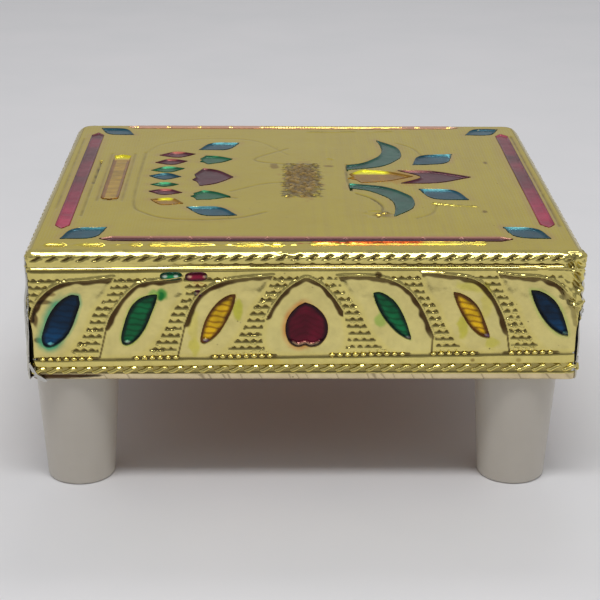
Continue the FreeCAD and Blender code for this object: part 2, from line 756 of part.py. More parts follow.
def skirt_move(foot_x, across, mirror):
    """Share points of a niche moved onto its skirt."""

    def move(point):
        return Vector(mirror * (foot_x + point[0] * across), field_foot + point[1] * field_height, 0)

    return move


def keep_on_skirt(shape, quarter):
    """The part of a shape that lies over the straight run of its skirt."""
    radius = size("case_front_radius" if quarter == 0 else "case_rear_radius") + size("skin")
    half = (skirt_width if quarter % 2 == 0 else skirt_depth) / 2 - radius
    overrun = size("overrun")
    box = Part.makeBox(2 * half, -field_foot, 2 * overrun, Vector(-half, field_foot, -overrun))
    return shape.common(box)


def add_niche(quarter, stretches, foot_x, across, mirror):
    """A niche sunk into a skirt."""
    face = flat_face(stretches, skirt_move(foot_x, across, mirror))
    hole = keep_on_skirt(slab(face, -size("niche_depth"), size("overrun")), quarter)
    hole.transformShape(skirt_frame(quarter).toMatrix())
    sunk.append(hole)


def add_rim(quarter, rim, foot_x, across, mirror, mitred=False):
    """The raised rim along a niche's upper edge; a mitred one meets its mirror image."""
    move = skirt_move(foot_x, across, mirror)
    inner = [move(point) for point in rim]
    outer = offset_line(inner, mirror * size("rim_width"))
    if mitred:
        run = (inner[-1] - inner[-2]).normalize()
        outer[-1] = inner[-1] + Vector(0, size("rim_width") / abs(run.x), 0)
    edges = [stretch_edge(inner), stretch_edge([inner[-1], outer[-1]]),
             stretch_edge(outer[::-1]), stretch_edge([outer[0], inner[0]])]
    ridge = slab(Part.Face(Part.Wire(edges)), -size("skin") / 2, size("rim_proud"))
    ridge = keep_on_skirt(ridge, quarter)
    ridge.transformShape(skirt_frame(quarter).toMatrix())
    raised.append(ridge)


def mirrored(stretch):
    return tuple((-x, y) for x, y in reversed(stretch))


# Colours of the leaves from the middle of a skirt outwards, to the left and the right.
LEAF_COLOURS = {1: ("yellow", "green", "blue"), -1: ("green", "yellow", "blue")}


def dress_skirt(quarter):
    """The niches and their lacquered leaves on one skirt."""
    frame = skirt_frame(quarter)
    squeeze = 1 if quarter % 2 == 0 else skirt_depth / skirt_width
    pitch = size("side_pitch") * squeeze
    floor = -size("niche_depth")
    niche = (NICHE_RIM_SHARES, NICHE_BACK_SHARES, NICHE_FOOT_SHARES, NICHE_FRONT_SHARES)
    for mirror, colours in LEAF_COLOURS.items():
        for k, colour in enumerate(colours):
            middle = -(size("centre_pitch") * squeeze + k * pitch)
            add_niche(quarter, niche, middle, pitch, mirror)
            add_rim(quarter, NICHE_RIM_SHARES, middle, pitch, mirror)
            move = gem_move(middle, field_middle - size("leaf_sink"), size("leaf_length"),
                            size("leaf_width") * squeeze, LEAF_LEAN, mirror)
            add_gem(colour, LEAF_SHARES, move, frame, floor)
        add_rim(quarter, OGEE_RIM_SHARES, 0, pitch, mirror, mitred=True)
    ogee = (OGEE_SIDE_SHARES, OGEE_RIM_SHARES, mirrored(OGEE_RIM_SHARES),
            mirrored(OGEE_SIDE_SHARES), OGEE_FOOT_SHARES)
    add_niche(quarter, ogee, 0, pitch, 1)
    move = gem_move(0, field_middle - size("heart_sink"), size("heart_width") * squeeze,
                    size("heart_length"), 0)
    add_gem("red", HEART_SHARES, move, frame, floor)


for quarter in range(4):
    dress_skirt(quarter)


# The lacquered figures on the top: a border of bars and corner leaves, and a
# water pot on its side with mango leaves at its mouth. Middle across and
# middle up are shares of half the top, length and width shares of its width.

TOP_GEM_SHARES = (
    # colour, outline, middle across, middle up, length, width, turn in degrees
    ("red", BAR_SHARES, -0.899, 0.065, 0.695, 0.027, 90),
    ("red", BAR_SHARES, 0.912, 0.075, 0.682, 0.028, 90),
    ("red", BAR_SHARES, -0.023, 0.95, 0.756, 0.022, 0),
    ("red", BAR_SHARES, 0.006, -0.835, 0.753, 0.024, 0),
    ("blue", ALMOND_SHARES, -0.816, 0.86, 0.094, 0.045, -36),
    ("blue", ALMOND_SHARES, 0.831, 0.86, 0.094, 0.045, 33),
    ("blue", ALMOND_SHARES, -0.808, -0.76, 0.1, 0.052, 40),
    ("blue", ALMOND_SHARES, 0.818, -0.748, 0.1, 0.052, -40),
    ("yellow", BAR_SHARES, -0.755, 0.065, 0.325, 0.03, 90),
    ("red", ALMOND_SHARES, -0.525, 0.432, 0.078, 0.043, 8),
    ("red", ALMOND_SHARES, -0.545, 0.306, 0.068, 0.042, 10),
    ("green", ALMOND_SHARES, -0.553, 0.178, 0.071, 0.04, 12),
    ("blue", ALMOND_SHARES, -0.558, 0.066, 0.066, 0.045, -5),
    ("green", ALMOND_SHARES, -0.553, -0.065, 0.058, 0.029, 0),
    ("red", ALMOND_SHARES, -0.543, -0.181, 0.068, 0.04, -8),
    ("yellow", ALMOND_SHARES, -0.53, -0.325, 0.07, 0.045, -20),
    ("blue", ALMOND_SHARES, -0.348, 0.576, 0.1, 0.052, 32),
    ("green", PETAL_SHARES, -0.357, 0.345, 0.071, 0.065, 8),
    ("red", PETAL_SHARES, -0.361, 0.055, 0.083, 0.127, 0),
    ("green", PETAL_SHARES, -0.361, -0.235, 0.078, 0.064, -8),
    ("blue", ALMOND_SHARES, -0.351, -0.46, 0.11, 0.052, -28),
    ("yellow", PETAL_SHARES, 0.325, 0.058, 0.13, 0.094, 0),
    ("red", BUD_SHARES, 0.55, 0.06, 0.147, 0.094, 0),
    ("blue", ALMOND_SHARES, 0.562, 0.348, 0.123, 0.062, 40),
    ("blue", ALMOND_SHARES, 0.561, -0.216, 0.116, 0.062, -36),
)
# The two mango leaves start at the pot's mouth: place of their root and sizes.
MANGO_ROOT_SHARES = (0.192, 0.056)
MANGO_SIZE_SHARES = {1: 0.292, -1: 0.27}

top_frame = Placement(Vector(0, 0, foil_top), Rotation())
half_top_x = skirt_width / 2
half_top_y = skirt_depth / 2
for colour, outline, x_share, y_share, length_share, width_share, turn in TOP_GEM_SHARES:
    move = gem_move(x_share * half_top_x, y_share * half_top_y, length_share * skirt_width,
                    width_share * skirt_width, turn)
    add_gem(colour, outline, move, top_frame, 0)
for side, share in MANGO_SIZE_SHARES.items():
    scale = share * skirt_width
    move = shares_move(MANGO_ROOT_SHARES[0] * half_top_x, MANGO_ROOT_SHARES[1] * half_top_y,
                       scale, side * scale)
    add_gem("green", MANGO_SHARES, move, top_frame, 0)


# Rope, line and bead bands that run round all four skirts.

def plan_wire(outset, height):
    """The box's rounded outline, grown by an outset, at a height."""
    x = size("case_width") / 2 + outset
    y = size("case_depth") / 2 + outset
    tight = size("case_front_radius") + outset
    wide = size("case_rear_radius") + outset
    edges = []
    corners = ((x, -y, tight, -1), (x, y, wide, 0), (-x, y, wide, 1), (-x, -y, tight, 2))
    last = None
    first = None
    for cx, cy, radius, start in corners:
        middle = Vector(cx - math.copysign(radius, cx), cy - math.copysign(radius, cy), height)
        spots = []
        for step in (0, 0.5, 1):
            angle = math.radians((start + step) * QUARTER_TURN)
            spots.append(middle + Vector(math.cos(angle), math.sin(angle), 0) * radius)
        if last is None:
            first = spots[0]
        else:
            edges.append(Part.LineSegment(last, spots[0]).toShape())
        edges.append(Part.Arc(*spots).toShape())
        last = spots[-1]
    edges.append(Part.LineSegment(last, first).toShape())
    return Part.Wire(edges)


def band(drop, height, proud, rounding=0):
    """A ring round the skirts, from drop to drop plus height under the top face."""
    foot = foil_top - drop - height
    rise = Vector(0, 0, height)
    solid = Part.Face(plan_wire(size("skin") + proud, foot)).extrude(rise)
    if rounding:
        level = [edge for edge in solid.Edges if edge.BoundBox.ZLength < height / 2]
        solid = solid.makeFillet(rounding, level)
    raised.append(solid.cut(Part.Face(plan_wire(size("skin") / 2, foot)).extrude(rise)))


band(size("upper_rope_drop"), size("upper_rope_height"), size("rope_proud"), size("rope_round"))
band(size("line_drop"), size("line_height"), size("line_proud"))
band(size("line_drop") + size("line_space"), size("line_height"), size("line_proud"))
bead_drop = foil_tall - size("bead_rise") - size("bead_height")
band(bead_drop, size("bead_height"), size("line_proud"))
lower_rope_drop = foil_tall - size("lower_rope_rise") - size("lower_rope_height")
band(lower_rope_drop, size("lower_rope_height"), size("rope_proud"), size("rope_round"))


# What is cut out of the foil besides the niches and pockets: the box's own
# space, the open corners of the skirts and the holes of the tacks.

box_space = Part.Face(plan_wire(0, case_bottom)).extrude(Vector(0, 0, deck_top - case_bottom))
sunk.append(box_space)

slit_low = size("leg_length") + size("slit_foot")
slit_tall = foil_tall - size("slit_foot") - size("slit_head")
for side in (-1, 1):
    for end in (-1, 1):
        outwards = Vector(side, end, 0).normalize()
        across = Vector(-outwards.y, outwards.x, 0)
        start = Vector(side * half_width, end * half_depth, slit_low)
        start = start - outwards * (size("case_rear_radius") + size("skin"))
        half_slit = across * (size("slit_width") / 2)
        tip = start + Vector(0, 0, slit_tall)
        wedge = Part.Face(Part.makePolygon([start - half_slit, start + half_slit, tip, start - half_slit]))
        reach = size("case_rear_radius") + 2 * size("skin") + size("rope_proud") + size("overrun")
        sunk.append(wedge.extrude(outwards * reach))

for spot, direction in tack_places:
    radius = size("tack_diameter") / 2 + size("pilot_clearance")
    start = spot - up * size("overrun")
    sunk.append(Part.makeCylinder(radius, size("hem_thickness") + 2 * size("overrun"), start, up))


# The foil: blank, plus what is raised on it, less what is sunk into it.

raised_relief = doc.addObject("Part::Feature", "raised_relief")
raised_relief.Shape = raised[0].fuse(raised[1:])
sunk_relief = doc.addObject("Part::Feature", "sunk_relief")
sunk_relief.Shape = sunk[0].fuse(sunk[1:])
embossed = doc.addObject("Part::Fuse", "embossed")
embossed.Base = foil
embossed.Tool = raised_relief
cover = doc.addObject("Part::Cut", "foil_cover")
cover.Base = embossed
cover.Tool = sunk_relief
cover.Label = "foil_cover"

for colour, fills in enamel.items():
    group = doc.addObject("Part::Feature", colour + "_enamel")
    group.Label = colour + "_enamel"
    group.Shape = Part.makeCompound(fills)


# Check every object, then write one file for each piece.

NODES = ["deck_board", "front_rail", "rear_rail", "left_rail", "right_rail"]
for piece in ("corner_block_", "leg_", "leg_washer_", "leg_screw_"):
    NODES += [piece + corner for corner in LEG_CORNERS]
NODES += ["deck_nails", "rail_nails", "hem_tacks", "foil_cover"]
NODES += [colour + "_enamel" for colour in enamel]

doc.recompute()
for item in doc.Objects:
    if "Invalid" in item.State or "Error" in item.State:
        raise ValueError("%s failed: %s" % (item.Label, item.State))

os.makedirs("parts", exist_ok=True)
for label in NODES:
    piece = doc.getObjectsByLabel(label)[0]
    shape = piece.Shape
    if shape.isNull() or not shape.isValid() or not shape.Solids:
        raise ValueError(label + " has no valid solid")
    shape.exportStep("parts/%s.step" % label)
    print("%-28s %3d solids %10.1f mm3" % (label, len(shape.Solids), shape.Volume))
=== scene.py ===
# %% [markdown]
# # A puja chowki under embossed foil
# A low prayer table is a wooden box on four tapered plastic legs. One sheet of
# gold foil, pressed with ropes, niches and fish scales, is folded over the box,
# and its pockets are filled with coloured lacquer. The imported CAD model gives
# each size and place. This script gives the looks on top of it.

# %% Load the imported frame
import math

import bpy
import numpy as np
from mathutils import Matrix, Vector
from mathutils.geometry import delaunay_2d_cdt


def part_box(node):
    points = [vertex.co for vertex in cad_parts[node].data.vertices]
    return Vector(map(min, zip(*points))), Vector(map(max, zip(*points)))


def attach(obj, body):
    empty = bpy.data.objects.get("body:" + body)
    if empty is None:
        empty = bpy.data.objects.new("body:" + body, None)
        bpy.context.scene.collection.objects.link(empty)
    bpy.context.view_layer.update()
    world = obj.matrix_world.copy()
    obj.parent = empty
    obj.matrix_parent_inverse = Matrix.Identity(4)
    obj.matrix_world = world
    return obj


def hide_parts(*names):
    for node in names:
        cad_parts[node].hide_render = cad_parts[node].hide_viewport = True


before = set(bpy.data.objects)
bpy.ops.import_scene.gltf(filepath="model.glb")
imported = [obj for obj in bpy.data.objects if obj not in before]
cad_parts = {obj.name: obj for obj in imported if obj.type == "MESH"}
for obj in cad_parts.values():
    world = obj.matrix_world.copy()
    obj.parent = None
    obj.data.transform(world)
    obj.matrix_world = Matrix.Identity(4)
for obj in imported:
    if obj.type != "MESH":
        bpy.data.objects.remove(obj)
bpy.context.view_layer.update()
MM = 0.001


def add_object(name, data, *materials):
    """Put a mesh, a lamp or a camera in the scene, at the origin."""
    for material in materials:
        data.materials.append(material)
    made = bpy.data.objects.new(name, data)
    bpy.context.collection.objects.link(made)
    return made


print("frame:", len(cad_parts), "nodes")

# %% [markdown]
# ## Camera and light
# The camera stands where the photographer stood, found from the corners of the
# box. One wide softbox hangs above and in front, a weaker one behind, and the
# plain grey world fills the shadows. Metal shows what it reflects, so the world
# is darker low down behind the camera, as a room is.

# %% Camera
CAMERA_PLACE = Vector((-9.3, -484.4, 214.6)) * MM
PITCH, YAW, ROLL = (math.radians(angle) for angle in (20.58, -1.08, 0.42))
FOCAL_PIXELS, PICTURE_PIXELS, SENSOR = 1604.8, 600.0, 36.0

ahead = Vector((-math.sin(YAW) * math.cos(PITCH), math.cos(YAW) * math.cos(PITCH), -math.sin(PITCH)))
level = Vector((math.cos(YAW), math.sin(YAW), 0.0))
upward = level.cross(ahead)
camera_right = level * math.cos(ROLL) + upward * math.sin(ROLL)
camera_up = upward * math.cos(ROLL) - level * math.sin(ROLL)

camera_data = bpy.data.cameras.new("camera")
camera_data.sensor_width = SENSOR
camera_data.lens = SENSOR * FOCAL_PIXELS / PICTURE_PIXELS
camera_data.clip_start = 0.01
camera = add_object("camera", camera_data)
turn = Matrix((camera_right, camera_up, -ahead)).transposed()
camera.matrix_world = Matrix.Translation(CAMERA_PLACE) @ turn.to_4x4()
bpy.context.scene.camera = camera
bpy.context.scene.view_settings.view_transform = "Standard"
print("lens:", round(camera_data.lens, 1), "mm")

# %% World
WORLD_LEVEL, ROOM_LEVEL, WORLD_COLOUR = 0.42, 0.26, (0.985, 0.985, 1.0, 1.0)

world = bpy.data.worlds.new("studio")
world.use_nodes = True
bpy.context.scene.world = world
sky = world.node_tree
axes = sky.nodes.new("ShaderNodeSeparateXYZ")
sky.links.new(sky.nodes.new("ShaderNodeTexCoord").outputs["Generated"], axes.inputs["Vector"])
to_room = sky.nodes.new("ShaderNodeMapRange")
to_room.interpolation_type = "SMOOTHSTEP"
sky.links.new(axes.outputs["Y"], to_room.inputs["Value"])
fading = {"From Min": -0.2, "From Max": -0.85, "To Min": WORLD_LEVEL, "To Max": ROOM_LEVEL}
for socket, value in fading.items():
    to_room.inputs[socket].default_value = value
background = sky.nodes["Background"]
background.inputs["Color"].default_value = WORLD_COLOUR
sky.links.new(to_room.outputs["Result"], background.inputs["Strength"])

# %% Softboxes
SOFTBOXES = (
    # name, place, aim, wide, deep, watts
    ("key", (-0.04, -0.44, 1.15), (0.0, 0.0, 0.04), 0.86, 0.2, 6.4),
    ("back", (0.1, 0.62, 1.0), (0.0, 0.0, 0.07), 0.5, 0.16, 1.6),
)
for name, place, aim, wide, deep, watts in SOFTBOXES:
    lamp = bpy.data.lights.new(name, "AREA")
    lamp.shape = "RECTANGLE"
    lamp.size, lamp.size_y, lamp.energy = wide, deep, watts
    holder = add_object(name, lamp)
    holder.location = place
    holder.rotation_euler = (Vector(aim) - Vector(place)).to_track_quat("-Z", "Y").to_euler()
print("lamps:", [row[0] for row in SOFTBOXES])

# %% [markdown]
# ## Small tools
# Each finish is built on one small class, so that it reads as a short list of
# steps. Curves, distances and soft steps are worked out for whole grids at once.


# %% Node and material helpers
def wire(tree, kind, inputs=None, out=0, **settings):
    """Add a node, set its settings, link or set its inputs, and give one output."""
    made = tree.nodes.new(kind)
    for name, value in settings.items():
        setattr(made, name, value)
    for name, value in (inputs or {}).items():
        if isinstance(value, bpy.types.NodeSocket):
            tree.links.new(value, made.inputs[name])
        else:
            made.inputs[name].default_value = value
    return made.outputs[out]


def maths(tree, operation, *values, **settings):
    return wire(tree, "ShaderNodeMath", dict(enumerate(values)), operation=operation, **settings)


def vector(tree, x=0.0, y=0.0, z=0.0):
    return wire(tree, "ShaderNodeCombineXYZ", {"X": x, "Y": y, "Z": z})


def tone(red, green, blue):
    """A colour given as 0-255 screen values, made linear."""
    linear = []
    for value in (red, green, blue):
        share = value / 255.0
        linear.append(share / 12.92 if share <= 0.04045 else ((share + 0.055) / 1.055) ** 2.4)
    return (*linear, 1.0)


class Finish:
    """A Principled material in object coordinates, built up step by step."""

    def __init__(self, name, stretch=(1.0, 1.0, 1.0), **levels):
        self.material = bpy.data.materials.new(name)
        self.material.use_nodes = True
        self.tree, self.normal = self.material.node_tree, None
        self.shader = self.tree.nodes["Principled BSDF"]
        for socket, value in levels.items():
            self.shader.inputs[socket.replace("_", " ")].default_value = value
        place = wire(self.tree, "ShaderNodeTexCoord", out="Object")
        self.place = wire(self.tree, "ShaderNodeMapping", {"Vector": place, "Scale": stretch})

    def grain(self, scale, detail=3.0, roughness=0.55):
        return wire(self.tree, "ShaderNodeTexNoise", {
            "Vector": self.place, "Scale": scale, "Detail": detail, "Roughness": roughness})

    def remap(self, value, low, high, new_low=0.0, new_high=1.0):
        return wire(self.tree, "ShaderNodeMapRange", {
            "Value": value, "From Min": low, "From Max": high, "To Min": new_low, "To Max": new_high})

    def cloud(self, scale, low, high):
        """Noise spread between two values."""
        return self.remap(self.grain(scale), 0.3, 0.7, low, high)

    def stored(self, name, out="Color"):
        return wire(self.tree, "ShaderNodeAttribute", out=out, attribute_name=name)

    def mix(self, share, first, second, mode="MIX"):
        return wire(self.tree, "ShaderNodeMix", {0: share, 6: first, 7: second}, 2,
                    data_type="RGBA", blend_type=mode)

    def use(self, socket, value):
        self.tree.links.new(value, self.shader.inputs[socket])

    def bump(self, height, depth, strength):
        """Bump with its depth in metres, on top of the bumps before it."""
        inputs = {"Height": height, "Distance": depth, "Strength": strength}
        if self.normal is not None:
            inputs["Normal"] = self.normal
        self.normal = wire(self.tree, "ShaderNodeBump", inputs)
        self.use("Normal", self.normal)


# %% Soft steps, curves and distances
def soft(value):
    value = np.clip(value, 0.0, 1.0)
    return value * value * (3.0 - 2.0 * value)


def ridge(distance, half_width):
    """One on the line, falling softly to nothing at half a width."""
    return soft(1.0 - np.abs(distance) / half_width)


def shelf(value, low, high, edge):
    """One between low and high, with soft edges outside them."""
    return soft((value - low) / edge + 1.0) * soft((high - value) / edge + 1.0)


def spot(x, y, middle, sizes, reach=1.0, edge=1.0):
    """One in the middle of an oval, falling softly to nothing at its edge."""
    return soft((reach - np.hypot((x - middle[0]) / sizes[0], (y - middle[1]) / sizes[1])) / edge)


def mixed(colours, share, colour):
    """Colours moved towards one colour by a share for each of them."""
    share = np.clip(share, 0, 1)[..., None]
    return colours * (1 - share) + share * np.array(colour)


def curve_through(points, steps=8):
    """A smooth line through points; two points make a straight one."""
    points = np.asarray(points, float)
    if len(points) == 2:
        share = np.linspace(0.0, 1.0, steps + 1)[:, None]
        return points[0] * (1 - share) + points[1] * share
    padded = np.vstack([2 * points[0] - points[1], points, 2 * points[-1] - points[-2]])
    line = []
    for k in range(len(points) - 1):
        a, b, c, d = padded[k:k + 4]
        for t in np.arange(steps) / steps:
            line.append(0.5 * (2 * b + (c - a) * t + (2 * a - 5 * b + 4 * c - d) * t * t
                               + (3 * b - a - 3 * c + d) * t ** 3))
    line.append(points[-1])
    return np.array(line)


def distance_to(x, y, line):
    """Distance from each grid point to a line of points."""
    best = np.full(np.shape(x), 1e9)
    for (ax, ay), (bx, by) in zip(line[:-1], line[1:]):
        dx, dy = bx - ax, by - ay
        long = max(dx * dx + dy * dy, 1e-12)
        share = np.clip(((x - ax) * dx + (y - ay) * dy) / long, 0.0, 1.0)
        best = np.minimum(best, (x - ax - share * dx) ** 2 + (y - ay - share * dy) ** 2)
    return np.sqrt(best)


def is_inside(x, y, outline):
    """True for grid points inside a closed outline."""
    inside = np.zeros(np.shape(x), bool)
    for (ax, ay), (bx, by) in zip(outline, np.roll(outline, -1, axis=0)):
        crosses = (ay > y) != (by > y)
        if ay != by:
            inside ^= crosses & (x < (bx - ax) * (y - ay) / (by - ay) + ax)
    return inside

def closed(outline):
    """The same line, carried back to its first point."""
    return np.vstack([outline, outline[:1]])


def close_by(x, y, outline, margin):
    """True for grid points within a margin of the box round an outline."""
    low, high = outline.min(0) - margin, outline.max(0) + margin
    return (x > low[0]) & (x < high[0]) & (y > low[1]) & (y < high[1])


def depth_inside(x, y, outline):
    """Distance to an outline, positive inside it; far points are cut short."""
    margin = 3.0
    near = close_by(x, y, outline, margin)
    result = np.full(np.shape(x), -margin)
    found = distance_to(x[near], y[near], closed(outline))
    result[near] = np.where(is_inside(x[near], y[near], outline), found, -np.minimum(found, margin))
    return result


def ripple(x, y, pitch, seed):
    """Smooth noise between minus one and one, the same on each run."""
    table = np.random.default_rng(seed).uniform(-1.0, 1.0, (97, 97))
    gx, gy = x / pitch + 50.0, y / pitch + 50.0
    ix, iy = np.floor(gx).astype(int), np.floor(gy).astype(int)
    fx, fy = soft(gx - ix), soft(gy - iy)
    ix, iy = ix % 97, iy % 97
    jx, jy = (ix + 1) % 97, (iy + 1) % 97
    low = table[iy, ix] * (1 - fx) + table[iy, jx] * fx
    high = table[jy, ix] * (1 - fx) + table[jy, jx] * fx
    return low * (1 - fy) + high * fy


# %% [markdown]
# ## Where the foil lies
# Each skirt is unrolled: u runs to the right along it, y runs up from the top
# face, and height stands out from it. The same frame serves the pressed sheet,
# the lacquer and every small part that Geometry Nodes will plant on it.

# %% Sizes of the foil, read from the frame
foil_low, foil_high = (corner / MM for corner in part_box("foil_cover"))
ROPE_PROUD = 0.5
HALF_X, HALF_Y = foil_high.x - ROPE_PROUD, foil_high.y - ROPE_PROUD
TOP, TALL = foil_high.z, foil_high.z - foil_low.z
FRONT_RADIUS, REAR_RADIUS = 2.2, 5.2
SKIN = 0.78
SEAM = 2.0
BEND = 1.7
HEM_ROUND = 0.7
HEM_HANG = 0.75
HEM_REACH = 7.2
print("foil:", round(2 * HALF_X, 2), "x", round(2 * HALF_Y, 2), "mm, skirt", round(TALL, 2))


class Skirt:
    """One side of the foil. Quarter 0 is the front, then right, rear and left."""

    def __init__(self, quarter):
        self.quarter = quarter
        self.half, self.reach = (HALF_X, HALF_Y) if quarter % 2 == 0 else (HALF_Y, HALF_X)
        self.left_round = FRONT_RADIUS if quarter in (0, 1) else REAR_RADIUS
        self.right_round = FRONT_RADIUS if quarter in (0, 3) else REAR_RADIUS
        self.first = -(self.half - self.left_round) - self.left_round * math.pi / 4
        self.last = (self.half - self.right_round) + self.right_round * math.pi / 4
        self.squeeze = self.half / HALF_X

    def plan(self, u):
        """Plan points and outward directions at each u, on the field plane."""
        right = np.maximum(u - (self.half - self.right_round), 0.0) / self.right_round
        left = np.maximum(-u - (self.half - self.left_round), 0.0) / self.left_round
        turn = right - left
        radius = np.where(turn > 0, self.right_round, self.left_round)
        middle = np.clip(u, -(self.half - self.left_round), self.half - self.right_round)
        x = middle + radius * np.sin(turn)
        y = -self.reach + radius * (1 - np.cos(turn))
        nx, ny = np.sin(turn), -np.cos(turn)
        for _ in range(self.quarter):
            x, y, nx, ny = -y, x, -ny, nx
        return x, y, nx, ny

    def place(self, u, y, height):
        """Points in space on the upright part of the skirt."""
        px, py, nx, ny = self.plan(np.asarray(u, float))
        return np.stack([px + nx * height, py + ny * height, TOP + y + 0 * px], -1)


skirts = [Skirt(quarter) for quarter in range(4)]

# %% [markdown]
# ## The pressed pattern
# The real pattern was pressed a little askew: it sits lower at the left end and
# higher at the right. A small table of levels bends the drawing in the same way.

# %% Skew of the pattern, and its outlines
SKEW_LEVELS = (-37.2, -34.5, -30.5, -20.0, -8.0, -5.0, -2.0, 0.0)
SKEW_LEFT = (0.0, 0.9, 1.4, 1.0, 0.9, 0.5, 0.6, 0.2)
SKEW_RIGHT = (0.0, -0.1, -1.0, -1.2, -0.8, -0.3, 0.15, 0.0)


def skew(skirt, u, y):
    """How much lower the pattern lies there than it was drawn; only on the front."""
    if skirt.quarter:
        return 0.0 * u
    share = u / HALF_X
    left = np.interp(y, SKEW_LEVELS, SKEW_LEFT) * np.maximum(-share, 0)
    return left + np.interp(y, SKEW_LEVELS, SKEW_RIGHT) * np.maximum(share, 0)


ALMOND = (((-0.5, 0.0), (0.0, -0.5), (0.5, 0.0)), ((0.5, 0.0), (0.0, 0.5), (-0.5, 0.0)))
PETAL = (((-0.3, -0.5), (0.12, -0.34), (0.5, 0.0)), ((0.5, 0.0), (0.12, 0.36), (-0.26, 0.5)),
         ((-0.26, 0.5), (-0.47, 0.14)), ((-0.47, 0.14), (-0.41, -0.02)), ((-0.41, -0.02), (-0.5, -0.16)),
         ((-0.5, -0.16), (-0.37, -0.28)), ((-0.37, -0.28), (-0.3, -0.5)))
BUD = (((-0.5, -0.5), (0.0, -0.44), (0.5, 0.0)), ((0.5, 0.0), (0.0, 0.44), (-0.5, 0.5)),
       ((-0.5, 0.5), (-0.2, 0.0), (-0.5, -0.5)))
BAR = (((-0.5, 0.0), (-0.47, -0.5)), ((-0.47, -0.5), (0.47, -0.5)), ((0.47, -0.5), (0.5, 0.0)),
       ((0.5, 0.0), (0.47, 0.5)), ((0.47, 0.5), (-0.47, 0.5)), ((-0.47, 0.5), (-0.5, 0.0)))
HEART = (((0.0, 0.5), (-0.24, 0.33), (-0.47, 0.0), (-0.43, -0.36), (-0.24, -0.5), (0.0, -0.42)),
         ((0.0, -0.42), (0.24, -0.5), (0.43, -0.36), (0.47, 0.0), (0.24, 0.33), (0.0, 0.5)))
LEAF = (((-0.5, 0.0), (-0.2, 0.4), (0.04, 0.63), (0.23, 0.6), (0.41, 0.33), (0.5, 0.0)),
        ((0.5, 0.0), (0.31, -0.19), (0.13, -0.32), (-0.1, -0.38), (-0.34, -0.3), (-0.5, 0.0)))
MANGO = (((0.0, 0.18), (0.0, 0.3)),
         ((0.0, 0.3), (0.116, 0.358), (0.202, 0.464), (0.26, 0.58), (0.284, 0.75), (0.26, 1.0)),
         ((0.26, 1.0), (0.396, 0.793), (0.416, 0.58), (0.376, 0.447), (0.242, 0.271), (0.0, 0.18)))
NICHE_RIM = ((-0.44, 0.39), (-0.358, 0.545), (-0.248, 0.69), (-0.092, 0.82), (0.083, 0.9),
             (0.275, 0.953), (0.569, 0.975))
NICHE_BACK = ((0.58, 0.8), (0.5, 0.7), (0.413, 0.6), (0.335, 0.42), (0.23, 0.245), (0.064, 0.064),
              (-0.046, 0.0))
OGEE_RIM = ((-0.454, 0.575), (-0.358, 0.687), (-0.252, 0.803), (-0.128, 0.914), (0.0, 0.99))
OGEE_SIDE = ((-0.358, 0.0), (-0.495, 0.086), (-0.532, 0.25), (-0.495, 0.464), (-0.454, 0.575))


def outline_of(stretches, steps=10):
    """A closed outline in shares from its stretches, without doubled points."""
    return np.vstack([curve_through(stretch, steps)[:-1] for stretch in stretches])


def turned(shares, x, y, length, width, degrees, mirror=1):
    """Outline shares turned and put in place, in millimetres."""
    angle = math.radians(degrees)
    along, across = shares[:, 0] * length, shares[:, 1] * width
    px = x + along * math.cos(angle) - across * math.sin(angle)
    py = y + along * math.sin(angle) + across * math.cos(angle)
    points = np.stack([mirror * px, py], -1)
    return points[::-1] if mirror < 0 else points


# %% Niches of one skirt
FIELD_FOOT, FIELD_HEIGHT = -30.3, 23.1
SIDE_PITCH, CENTRE_PITCH = 21.8, 24.1
FRONT_RIMS = {
    # (side, place from the middle): crest of the rim from its foot to its far end
    (-1, 0): ((-33.6, -21.0), (-32.6, -18.2), (-31.3, -15.2), (-29.6, -12.6), (-27.2, -10.6),
              (-24.4, -9.1), (-21.0, -8.0), (-17.0, -7.4), (-13.0, -7.1), (-8.8, -6.8)),
    (-1, 1): ((-55.4, -22.0), (-54.2, -18.8), (-52.4, -16.0), (-50.3, -13.2), (-48.2, -10.9),
              (-46.0, -9.3), (-43.5, -8.5), (-40.5, -8.2), (-37.0, -7.8), (-34.0, -7.3)),
    (-1, 2): ((-76.4, -19.5), (-75.2, -16.4), (-73.8, -14.0), (-72.0, -12.0), (-69.8, -10.3),
              (-67.4, -9.1), (-64.6, -8.5), (-60.5, -8.2), (-56.0, -7.7), (-52.6, -7.3)),
    (1, 0): ((36.0, -24.5), (34.6, -21.0), (33.2, -17.8), (31.6, -14.8), (29.6, -12.0),
             (27.2, -9.9), (24.6, -8.4), (21.6, -7.4), (18.0, -6.9), (13.0, -6.8), (8.8, -7.0)),
    (1, 1): ((56.6, -23.0), (55.6, -19.8), (54.2, -16.6), (52.6, -13.6), (50.8, -11.0),
             (48.8, -9.0), (46.2, -7.6), (43.0, -6.9), (39.5, -6.5), (36.0, -6.0), (31.8, -5.9)),
    (1, 2): ((76.2, -20.5), (75.2, -17.0), (73.6, -13.6), (71.6, -10.8), (69.2, -8.8),
             (66.4, -7.6), (63.0, -7.0), (59.0, -6.9), (55.5, -6.4), (53.0, -6.0)),
}
FRONT_OGEE = ((-10.4, -18.4), (-9.1, -15.8), (-7.3, -13.0), (-5.2, -10.6), (-2.6, -8.6), (0.1, -7.3),
              (2.7, -8.2), (5.0, -9.8), (7.0, -11.9), (8.9, -14.4), (10.5, -17.0))


def drawn(skirt, points, x, mirror=1):
    """Share points of a figure made millimetres, and bent with the pattern."""
    points = np.asarray(points, float) * (SIDE_PITCH * skirt.squeeze, FIELD_HEIGHT)
    u, v = mirror * (points[:, 0] + x), points[:, 1] + FIELD_FOOT
    return np.stack([u, v - skew(skirt, u, v)], -1)


